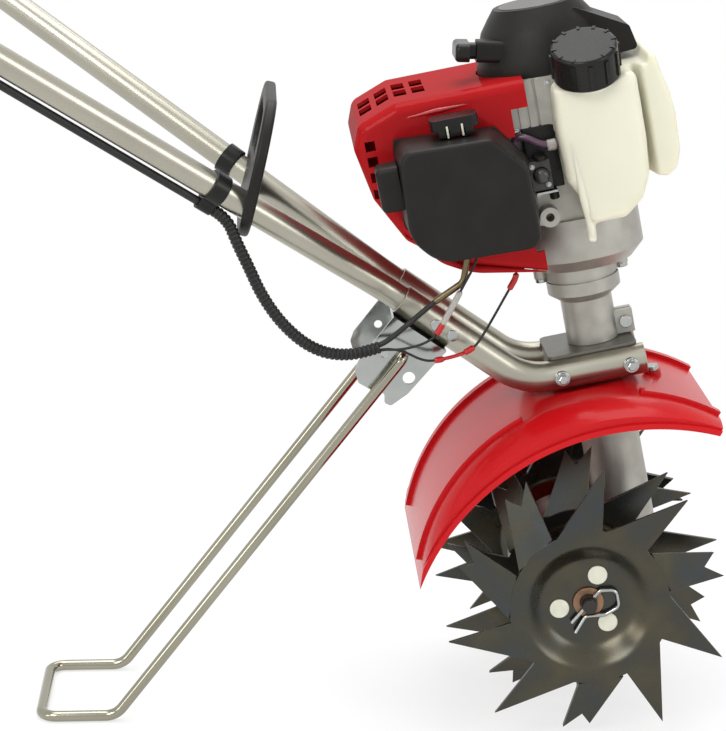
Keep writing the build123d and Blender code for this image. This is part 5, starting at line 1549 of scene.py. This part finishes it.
@dataclass(frozen=True)
class Starter(Assembly):
    """Recoil starter: dome, reel, pull grip and rope."""

    mouth: Point = (-4.0, -24.0, 391.0)
    pull_degrees: float = 12.0
    rope_radius: float = 1.75
    rope_start: float = -14.0
    rope_length: float = 25.0
    rope_hold: float = 2.0
    rope_steps: int = 40
    strands: int = 3
    strand_share: float = 0.52
    lay_length: float = 9.0
    dome_x: float = 44.0
    dome_top: float = 413.0
    plate_radius: float = 26.0
    plate_sink: float = 0.5
    plate_rise: float = 0.6
    plate_edge: tuple[float, float] = (0.4, 0.3)
    dressings: tuple[Dressing, ...] = (
        Dressing("recoil_cover", BLACK_PLASTIC, 0.8),
        Dressing("recoil_reel", SMOOTH_BLACK, 0.4),
        Dressing("starter_grip", SMOOTH_BLACK, 0.6),
    )

    def build(self) -> None:
        """Dress the starter, lay its rope and set the disc in its dome."""
        self.shop.dress_all(self.dressings)
        self.build_rope()
        self.build_plate()

    def build_plate(self) -> None:
        """Turn the plain disc in the dome's flat top."""
        low = self.dome_top - self.plate_sink
        high = self.dome_top + self.plate_rise
        inward, down = self.plate_edge
        profile = [(0.0, low), (self.plate_radius, low), (self.plate_radius, high - down),
                   (self.plate_radius - inward, high), (0.0, high)]
        work = turned_mesh(profile, sides=64)
        bmesh.ops.translate(work, vec=(self.dome_x, 0.0, 0.0), verts=work.verts)
        self.shop.add_piece("dome_plate", work, PLATE_GREY, sharp_degrees=30.0)

    def build_rope(self) -> None:
        """Twist a three-strand rope."""
        pull = math.radians(self.pull_degrees)
        forward = Vector((-math.cos(pull), 0.0, math.sin(pull)))
        across = Vector((0.0, 1.0, 0.0))
        other = forward.cross(across)
        strand_radius = self.rope_radius * self.strand_share
        offset = self.rope_radius - strand_radius
        work = bmesh.new()
        for strand in range(self.strands):
            points = []
            for step in range(self.rope_steps + 1):
                distance = self.rope_start + self.rope_length * step / self.rope_steps
                turn = math.tau * (strand / self.strands + distance / self.lay_length)
                spot = Vector(self.mouth) + forward * distance
                points.append(spot + offset * (math.cos(turn) * across + math.sin(turn) * other))
            tube_mesh(points, [strand_radius] * len(points), sides=10, work=work)
        rope = self.shop.place_mesh("starter_rope_lay", work, sharp_degrees=60.0)
        rope.data.materials.append(RUBBER.material())
        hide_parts("starter_rope")
        start = Vector(self.mouth) + forward * (self.rope_start + self.rope_hold)
        end = Vector(self.mouth) + forward * self.rope_hold
        self.shop.machine.point(start)
        self.shop.machine.point(end)
        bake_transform(rope)
        LOG.info("piece %s between frame and starter", rope.name)


@dataclass(frozen=True)
class Fender(Assembly):
    """Arched red fender."""

    sheet: Dressing = Dressing("fender", FENDER_RED, 0.7, 30.0, 3)
    crown_centre: Point = (25.0, 0.0, -5.0)
    crown_radius: float = 145.5
    lip_centre: Point = (35.7, 0.0, -57.0)
    lip_radius: float = 176.0
    half_width: float = 90.0
    bead: float = 4.0
    arch_start: float = 67.0
    arch_steps: int = 7
    arch_share: float = 0.66
    front_degrees: float = 51.0

    def build(self) -> None:
        """Press and dress the fender."""
        self.shop.dress(self.sheet, self.press)

    def press(self, work: bmesh.types.BMesh) -> None:
        """Bend the crown down towards its side walls, and cut the front end square to it.

        Args:
            work: The fender's merged copy, in machine millimetres.
        """
        reach = self.half_width - self.arch_start
        for side in (-1.0, 1.0):
            for step in range(self.arch_steps):
                place = (0.0, side * (self.arch_start + reach * step / self.arch_steps), 0.0)
                everything = [*work.verts, *work.edges, *work.faces]
                bmesh.ops.bisect_plane(work, geom=everything, plane_co=place, plane_no=(0.0, 1.0, 0.0))
        for vertex in work.verts:
            outward = min(1.0, (abs(vertex.co.y) - self.arch_start) / reach)
            if outward > 0.0:
                vertex.co = self.arched(vertex.co, outward)
        turn = math.radians(self.front_degrees)
        ahead = Vector((math.sin(turn), 0.0, -math.cos(turn)))
        everything = [*work.verts, *work.edges, *work.faces]
        bmesh.ops.bisect_plane(work, geom=everything, plane_co=self.crown_centre, plane_no=ahead,
                               clear_outer=True)
        rim = [edge for edge in work.edges if edge.is_boundary]
        bmesh.ops.holes_fill(work, edges=rim, sides=0)

    def arched(self, spot: Vector, outward: float) -> Vector:
        """Lower a point of the crown or of a side wall towards the bead.

        Args:
            spot: The point, in machine millimetres.
            outward: Its share of the way from the flat middle to the side wall.

        Returns:
            Where that point goes.
        """
        centre = Vector((self.crown_centre[0], spot.y, self.crown_centre[2]))
        offset = centre - Vector((self.lip_centre[0], spot.y, self.lip_centre[2]))
        spoke = spot - centre
        along = spoke.normalized()
        lean = offset.dot(along)
        lip = math.sqrt(lean ** 2 - offset.length_squared + self.lip_radius ** 2) - lean
        wall = self.crown_radius - lip - self.bead
        if wall <= 0.0:
            return spot
        share = min(1.0, max(0.0, (spoke.length - lip - self.bead) / wall))
        return spot - along * (self.arch_share * wall * outward ** 2 * share)


@dataclass(frozen=True)
class Kickstand(Assembly):
    """Bent wire stand and its folded bracket."""

    bracket: Dressing = Dressing("stand_bracket", ZINC_STEEL, 0.5)
    wire_radius: float = 4.0
    wire_ease: float = 0.6
    wire_bends: tuple[float, ...] = (5.0, 16.0, 12.0, 12.0, 16.0, 5.0)
    half_width: float = 50.0
    end_half_width: float = 37.0
    pivot: tuple[float, float] = (-94.947, 190.965)
    heel: tuple[float, float] = (-351.947, -32.441)
    toe: tuple[float, float] = (-405.936, -21.947)

    def build(self) -> None:
        """Dress the bracket and bend the wire."""
        self.shop.dress(self.bracket)
        corners = []
        for side in (-1.0, 1.0):
            leg = [Vector((self.pivot[0], side * self.end_half_width, self.pivot[1]))]
            for x, z in (self.pivot, self.heel, self.toe):
                leg.append(Vector((x, side * self.half_width, z)))
            corners += leg if side < 0 else leg[::-1]
        path = bent_path(corners, self.wire_bends, steps=12)
        line, radii = eased_ends(path, self.wire_radius, self.wire_ease)
        self.shop.add_piece("kickstand_wire", tube_mesh(line, radii, sides=40), STAND_WIRE,
                            self.shop.body_of["kickstand"], ("kickstand",), sharp_degrees=50.0)


@dataclass(frozen=True)
class Handles(Assembly):
    """Lower and upper tubes, bracket plate, carry handle, grips and the throttle control."""

    dressings: tuple[Dressing, ...] = (
        Dressing("handle_bracket", BRACKET_STEEL, 0.5),
        Dressing("fasteners", ZINC_STEEL, 0.5),
        Dressing("carry_handle", BLACK_PLASTIC, 0.0, 40.0),
        Dressing("throttle_housing", BLACK_PLASTIC, 0.6),
        Dressing("throttle_trigger", SMOOTH_BLACK, 0.6),
        Dressing("stop_switch", SWITCH_RED, 0.4),
    )
    lower_corners: tuple[tuple[float, float], ...] = ((76.0, 150.5), (-12.0, 150.5), (-88.399, 228.244))
    upper_start: tuple[float, float] = (-46.345, 185.449)
    lower_bends: tuple[float, ...] = (46.0,)
    upper_bends: tuple[float, ...] = (60.0, 55.0)
    lower_radius: float = 11.1
    upper_radius: float = 9.525
    slide_gap: float = 0.1
    upper_wall: float = 1.5
    tube_ease: float = 0.4
    grip_radius: float = 16.2
    grip_crown: float = 0.7
    grip_length: float = 130.0
    grip_end_wall: float = 5.0
    grip_end_round: float = 3.6
    grip_steps: int = 90
    ring_place: float = 12.0
    ring_width: float = 1.4
    ring_depth: float = 0.5

    def build(self) -> None:
        """Dress the handles, bend the tubes and draw the foam grips on."""
        self.shop.dress_all(self.dressings)
        for side, hand in ((-1.0, "right"), (1.0, "left")):
            self.build_tubes(HandleLine(side), hand)
            self.build_grip(HandleLine(side), hand)

    def build_tubes(self, line: HandleLine, hand: str) -> None:
        """Bend one side's lower and upper tube.

        Args:
            line: The upper tube's line.
            hand: Its side's name.
        """
        y = line.kink().y
        lower = [Vector((x, y, z)) for x, z in self.lower_corners]
        upper = [Vector((self.upper_start[0], y, self.upper_start[1])), line.kink(),
                 line.kink() + line.run() * line.splay_run, line.end()]
        tubes = (
            ("lower", lower, self.lower_bends, self.lower_radius, self.upper_radius + self.slide_gap),
            ("upper", upper, self.upper_bends, self.upper_radius, self.upper_radius - self.upper_wall),
        )
        for name, corners, bends, radius, bore in tubes:
            points, radii = eased_ends(bent_path(corners, bends, steps=16), radius, self.tube_ease)
            tube = tube_mesh(points, radii, sides=64, bore=bore)
            self.shop.add_piece(f"{name}_tube_{hand}", tube, TUBE_STEEL,
                                replaces=(f"{name}_handle_{hand}",), sharp_degrees=35.0)

    def build_grip(self, line: HandleLine, hand: str) -> None:
        """Turn one foam grip with a crowned middle, soft ends and two pressed rings.

        Args:
            line: The handle that it sits on.
            hand: Its side's name.
        """
        length = self.grip_length + self.grip_end_wall
        rings = (self.ring_place, length - self.ring_place)
        points = []
        radii = []
        for step in range(self.grip_steps + 1):
            share = 0.5 - 0.5 * math.cos(math.pi * step / self.grip_steps)
            place = share * length
            edge = min(place, length - place)
            inset = max(0.0, self.grip_end_round - edge)
            soft = self.grip_end_round - math.sqrt(max(0.0, self.grip_end_round ** 2 - inset ** 2))
            crown = self.grip_crown * math.sin(math.pi * share)
            ring = sum(math.exp(-((place - middle) / self.ring_width) ** 2) for middle in rings)
            radii.append(self.grip_radius + crown - soft - self.ring_depth * ring)
            points.append(line.end() + line.grip() * (self.grip_end_wall - place))
        grip = self.shop.add_piece(f"foam_grip_{hand}", tube_mesh(points, radii, sides=48), FOAM,
                                   replaces=(f"grip_{hand}",), sharp_degrees=50.0)


@dataclass(frozen=True)
class Cables(Assembly):
    """Throttle cable with its ribbed conduit, the stop wires, the sheath and the straps."""

    line: HandleLine = HandleLine(-1.0)
    housing_end: float = 171.3
    strap_step: float = 144.0
    straight_start: float = 12.0
    conduit_radius: float = 4.3
    groove_radius: float = 3.7
    rib_pitch: float = 3.2
    cable_radius: float = 1.9
    sheath_radius: float = 3.0
    knee_reach: float = 18.0
    wire_radius: float = 0.9
    sleeve_radius: float = 2.2
    link_radius: float = 1.3
    sleeve_tip: float = 0.7
    conduit_route: tuple[Point, ...] = (
        (-192.5, -68.5, 300.0), (-188.0, -69.0, 282.0), (-183.5, -69.0, 261.0), (-175.0, -69.0, 240.0),
        (-163.0, -68.0, 222.0), (-150.0, -67.0, 211.0), (-137.0, -66.0, 206.0), (-124.0, -65.5, 204.5),
        (-110.0, -65.0, 206.0),
    )
    cable_route: tuple[Point, ...] = (
        (-120.0, -65.3, 206.0), (-109.0, -64.9, 207.1), (-98.0, -64.6, 212.0), (-84.0, -64.5, 220.0),
        (-73.0, -64.7, 226.3), (-66.0, -65.0, 230.3),
    )
    first_wire: tuple[Point, ...] = (
        (-120.0, -66.4, 203.3), (-109.0, -66.0, 204.35), (-98.0, -67.3, 202.0), (-87.0, -68.2, 202.0),
        (-78.0, -69.0, 203.5), (-70.0, -70.0, 207.0), (-58.0, -71.0, 222.0), (-44.0, -71.8, 240.0),
        (-34.0, -70.5, 252.0), (-30.0, -67.5, 260.0), (-30.0, -67.5, 271.0),
    )
    second_wire: tuple[Point, ...] = (
        (-120.0, -64.3, 203.3), (-109.0, -63.8, 204.3), (-98.0, -62.8, 201.0), (-91.0, -62.0, 196.5),
        (-84.0, -61.0, 190.5), (-75.0, -60.0, 186.6), (-47.0, -57.3, 187.5), (-35.0, -55.0, 199.0),
        (-12.0, -51.0, 226.0), (-5.0, -50.0, 234.0), (-5.0, -50.0, 241.0),
    )
    dressings: tuple[Dressing, ...] = (
        Dressing("cable_straps", SMOOTH_BLACK, 0.5),
        Dressing("cable_elbow", BRASS, 0.0, 60.0),
    )

    def sheath_route(self) -> tuple[Point, ...]:
        """Route the plain sheath from the throttle housing round the knee and into the conduit.

        Returns:
            Its control points, in machine millimetres.
        """
        corner = self.line.cable_corner()
        back = -self.line.grip()
        top = corner + back * (self.housing_end - (corner - self.line.end()).dot(back))
        low = self.line.cable(self.strap_step - self.straight_start / 2)
        before = corner.lerp(top, min(1.0, self.knee_reach / (top - corner).length))
        after = corner.lerp(low, self.knee_reach / (low - corner).length)
        return tuple(tuple(spot) for spot in (top, before, corner, after, corner.lerp(low, 0.5), low))

    def build(self) -> None:
        """Dress the straps and the elbow, and lay every cord."""
        self.shop.dress_all(self.dressings)
        self.build_conduit()
        self.lay_cord("cable_sheath_line", self.sheath_route(), self.sheath_radius, "cable_sheath",
                      lay="taut")
        self.lay_cord("throttle_cable_line", self.cable_route, self.cable_radius, "throttle_cable")
        first = self.lay_cord("stop_wire_first", self.first_wire, self.wire_radius, "stop_wires")
        second = self.lay_cord("stop_wire_second", self.second_wire, self.wire_radius, None)
        self.build_sleeves(first, second)

    def build_conduit(self) -> None:
        """Lay the ribbed conduit's loop."""
        top = self.line.cable(self.strap_step)
        below = self.line.cable(self.strap_step - self.straight_start)
        route = [self.shop.machine.point(spot) for spot in (top, below, *self.conduit_route)]
        path = self.shop.line_points(route)
        base = self.shop.nurbs("conduit_base", route, 0.0)
        values = {
            "Rib Pitch": self.rib_pitch * MM,
            "Crest Radius": self.conduit_radius * MM,
            "Groove Radius": self.groove_radius * MM,
            "Material": RUBBER.material(),
        }
        conduit = ribbed_tube_tree().run(self.shop, "ribbed_conduit", base, values)
        self.shop.finish_piece(conduit, RUBBER, replaces=("cable_conduit",))

    def lay_cord(self, name: str, spots: tuple[Point, ...], radius: float, node: str | None,
                 lay: str = "hanging") -> list[Vector]:
        """Lay one plain black cord.

        Args:
            name: The piece's name.
            spots: Its route.
            radius: Its radius in millimetres.
            node: The CAD node that it stands for, if any.
            lay: How it is held; not used.

        Returns:
            The points of its line, in scene metres.
        """
        route = [self.shop.machine.point(spot) for spot in spots]
        cord = self.shop.nurbs(name, route, radius)
        self.shop.finish_piece(cord, RUBBER, replaces=(node,) if node else ())
        line = self.shop.line_points(route)
        return line

    def build_sleeves(self, first: list[Vector], second: list[Vector]) -> None:
        """Push connector sleeves on the stop wires.

        Args:
            first: The first wire's line.
            second: The second wire's line.
        """
        spans = (
            ("clear_sleeve", first, 0.47, 0.68, self.sleeve_radius, CLEAR_SLEEVE),
            ("red_sleeve_first", first, 0.41, 0.478, self.sleeve_radius, RED_WIRE),
            ("red_sleeve_low", second, 0.345, 0.392, self.sleeve_radius, RED_WIRE),
            ("red_sleeve_link", second, 0.39, 0.50, self.link_radius, RED_WIRE),
            ("red_sleeve_middle", second, 0.495, 0.55, self.sleeve_radius, RED_WIRE),
            ("red_sleeve_high", second, 0.875, 0.96, self.sleeve_radius, RED_WIRE),
        )
        for name, line, start, end, radius, finish in spans:
            stretch = part_of_line(line, start, end)
            radii = [radius * MM] * len(stretch)
            radii[0] = radii[-1] = radius * MM * self.sleeve_tip
            mesh = smooth_mesh(name, tube_mesh(stretch, radii, sides=16))
            self.shop.finish_piece(self.shop.link(name, mesh), finish)


@dataclass(frozen=True)
class Hardware(Assembly):
    """Hexagon crowns on the screws and bolts: place, facing and size of each, in machine millimetres."""

    tube_outside: float = 43.6
    tube_height: float = 150.5
    bolt_xs: tuple[float, float] = (14.0, 64.0)
    bolt_size: float = 4.6
    engine_screws: tuple[tuple[Point, float], ...] = (
        ((12.0, -48.0, 333.5), 2.6), ((39.0, -48.0, 363.5), 2.6), ((17.5, -60.0, 309.3), 1.9),
        ((27.0, -60.0, 295.3), 1.9), ((20.0, -46.0, 287.0), 2.2), ((28.0, -46.0, 268.0), 2.0),
    )

    def build(self) -> None:
        """Set a crown on both ends of each handle bolt, and heads on the engine's screws."""
        spots = []
        for x in self.bolt_xs:
            for side in (-1.0, 1.0):
                place = (x, side * self.tube_outside, self.tube_height)
                spots.append((place, (0.0, side, 0.0), self.bolt_size))
        for place, size in self.engine_screws:
            spots.append((place, (0.0, -1.0, 0.0), size))
        self.set_heads("bolt_crowns", spots)

    def set_heads(self, name: str, spots: list[tuple[Point, Point, float]]) -> None:
        """Set screw heads at points.

        Args:
            name: The piece's name.
            spots: Place, facing and size of each head.
        """
        turn = self.shop.machine.matrix().to_3x3()
        mesh = bpy.data.meshes.new(name + "_points")
        mesh.from_pydata([self.shop.machine.point(place) for place, facing, size in spots], [], [])
        mesh.attributes.new("facing", "FLOAT_VECTOR", "POINT")
        mesh.attributes.new("size", "FLOAT", "POINT")
        for index, (place, facing, size) in enumerate(spots):
            mesh.attributes["facing"].data[index].vector = (turn @ Vector(facing)).normalized()
            mesh.attributes["size"].data[index].value = size * MM
        base = self.shop.link(name + "_points", mesh)
        heads = screw_head_tree().run(self.shop, name, base, {"Material": ZINC_STEEL.material()})
        self.shop.finish_piece(heads, ZINC_STEEL)


@dataclass(frozen=True)
class SoftBox:
    """A square lamp: its name, place and side in metres, and power in watts."""

    name: str
    place: Point
    size: float
    power: float


@dataclass(frozen=True)
class Studio(Assembly):
    """Pale floor, soft light and the camera."""

    camera_distance: float = 1.8
    azimuth: float = -2.5
    elevation: float = 15.0
    focal_pixels: float = 2470.0
    image_long_side: float = 731.0
    sensor: float = 36.0
    aim_from_axle: Point = (-0.1561, 0.0, 0.1506)
    floor_size: float = 40.0
    floor_drop: float = 0.0002
    floor_colour: Colour = (0.9, 0.9, 0.9)
    floor_roughness: float = 0.9
    shadow_start: float = 0.2
    shadow_reach: float = 1.1
    shadow_share: float = 0.35
    sky_levels: tuple[tuple[float, float], ...] = ((0.0, 0.26), (0.8, 0.95))
    boxes: tuple[SoftBox, ...] = (
        SoftBox("key_box", (-1.3, -2.4, 2.3), 1.4, 42.0),
        SoftBox("fill_box", (2.4, -1.9, 1.3), 1.2, 18.0),
        SoftBox("top_box", (0.1, 0.2, 2.8), 1.6, 32.0),
        SoftBox("back_box", (0.6, 2.2, 3.0), 1.6, 16.0),
        SoftBox("rear_box", (-2.1, -1.5, 0.9), 0.7, 7.0),
    )
    box_aim: Point = (0.0, 0.0, 0.3)

    def build(self) -> None:
        """Set up floor, world, lights and camera."""
        self.build_floor()
        self.build_world()
        self.build_lights()
        self.build_camera()
        bpy.context.scene.view_settings.view_transform = "Standard"

    def build_floor(self) -> None:
        """Lay a pale floor: it takes the shadow round the machine and shows white further out."""
        bpy.ops.mesh.primitive_plane_add(size=self.floor_size, location=(0.0, 0.0, -self.floor_drop))
        floor = bpy.context.object
        floor.name = "studio_floor"
        material = bpy.data.materials.new("studio_floor_pale")
        material.use_nodes = True
        tree = material.node_tree
        shader = tree.nodes["Principled BSDF"]
        shader.inputs["Base Color"].default_value = (*self.floor_colour, 1.0)
        shader.inputs["Roughness"].default_value = self.floor_roughness
        white = add_node(tree, "ShaderNodeEmission", Strength=1.0)
        place = tree.nodes.new("ShaderNodeTexCoord").outputs["Object"]
        reach = add_node(tree, "ShaderNodeVectorMath", {"operation": "LENGTH"}, Vector=place)
        fade = add_node(tree, "ShaderNodeMapRange", Value=reach.outputs["Value"],
                        From_Min=self.shadow_start, From_Max=self.shadow_reach,
                        To_Min=1.0 - self.shadow_share)
        seen = add_math(tree, "MULTIPLY", fade.outputs["Result"], self.seen_rays(tree))
        mix = add_node(tree, "ShaderNodeMixShader", Fac=seen)
        tree.links.new(shader.outputs["BSDF"], mix.inputs[1])
        tree.links.new(white.outputs["Emission"], mix.inputs[2])
        tree.links.new(mix.outputs["Shader"], tree.nodes["Material Output"].inputs["Surface"])
        floor.data.materials.append(material)
        floor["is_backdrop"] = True

    def seen_rays(self, tree: bpy.types.NodeTree) -> bpy.types.NodeSocket:
        """Pick the rays that show the background: seen straight, in a reflection or through a clear piece.

        Args:
            tree: The node tree of the floor or the world.

        Returns:
            The socket that is 1 for those rays and 0 for the light on the object.
        """
        path = tree.nodes.new("ShaderNodeLightPath")
        chosen = path.outputs["Is Camera Ray"]
        for kind in ("Is Glossy Ray", "Is Transmission Ray"):
            chosen = add_math(tree, "MAXIMUM", chosen, path.outputs[kind])
        return chosen

    def build_world(self) -> None:
        """Fill the surroundings with light that falls off to the horizon; the background shows white."""
        world = bpy.data.worlds.new("studio_world")
        bpy.context.scene.world = world
        world.use_nodes = True
        tree = world.node_tree
        background = tree.nodes["Background"]
        place = tree.nodes.new("ShaderNodeTexCoord").outputs["Generated"]
        parts = add_node(tree, "ShaderNodeSeparateXYZ", Vector=place)
        ramp = add_node(tree, "ShaderNodeValToRGB", Fac=parts.outputs["Z"])
        for element, (height, level) in zip(ramp.color_ramp.elements, self.sky_levels):
            element.position = height
            element.color = (level, level, level, 1.0)
        mix = add_node(tree, "ShaderNodeMix", {"data_type": "RGBA"})
        factor, dark, light = mix.inputs[0], mix.inputs[6], mix.inputs[7]
        feed(tree, factor, self.seen_rays(tree))
        feed(tree, dark, ramp.outputs["Color"])
        feed(tree, light, (1.0, 1.0, 1.0, 1.0))
        feed(tree, background.inputs["Color"], mix.outputs[2])
        feed(tree, background.inputs["Strength"], 1.0)

    def build_lights(self) -> None:
        """Hang the soft boxes."""
        for soft_box in self.boxes:
            lamp = bpy.data.lights.new(soft_box.name, "AREA")
            lamp.size = soft_box.size
            lamp.energy = soft_box.power
            box = bpy.data.objects.new(soft_box.name, lamp)
            box.location = soft_box.place
            aim = Vector(self.box_aim) - Vector(soft_box.place)
            box.rotation_euler = aim.to_track_quat("-Z", "Y").to_euler()
            bpy.context.scene.collection.objects.link(box)

    def build_camera(self) -> None:
        """Stand the camera where the photograph was taken from."""
        turn = math.radians(self.azimuth)
        rise = math.radians(self.elevation)
        back = Vector((math.sin(turn) * math.cos(rise), -math.cos(turn) * math.cos(rise), math.sin(rise)))
        data = bpy.data.cameras.new("photo_camera")
        data.sensor_width = self.sensor
        data.lens = self.focal_pixels * self.sensor / self.image_long_side
        camera = bpy.data.objects.new("photo_camera", data)
        camera.location = self.shop.machine.axle + Vector(self.aim_from_axle) + back * self.camera_distance
        camera.rotation_euler = (-back).to_track_quat("-Z", "Y").to_euler()
        bpy.context.scene.collection.objects.link(camera)
        bpy.context.scene.camera = camera


def main() -> None:
    """Build every sub-assembly in order."""
    logging.basicConfig(level=logging.INFO, format="%(name)s: %(message)s")
    for old in list(bpy.data.objects):
        bpy.data.objects.remove(old)
    shop = Workshop()
    Studio(shop).build()
    assemblies = (
        Cables, FuelSystem, TineSet, GearDrive, Engine, AirCleaner, Starter, Fender, Kickstand, Handles,
        Hardware,
    )
    for assembly in assemblies:
        LOG.info("assembly %s", assembly.__name__)
        assembly(shop).build()


if __name__ == "__main__":
    main()
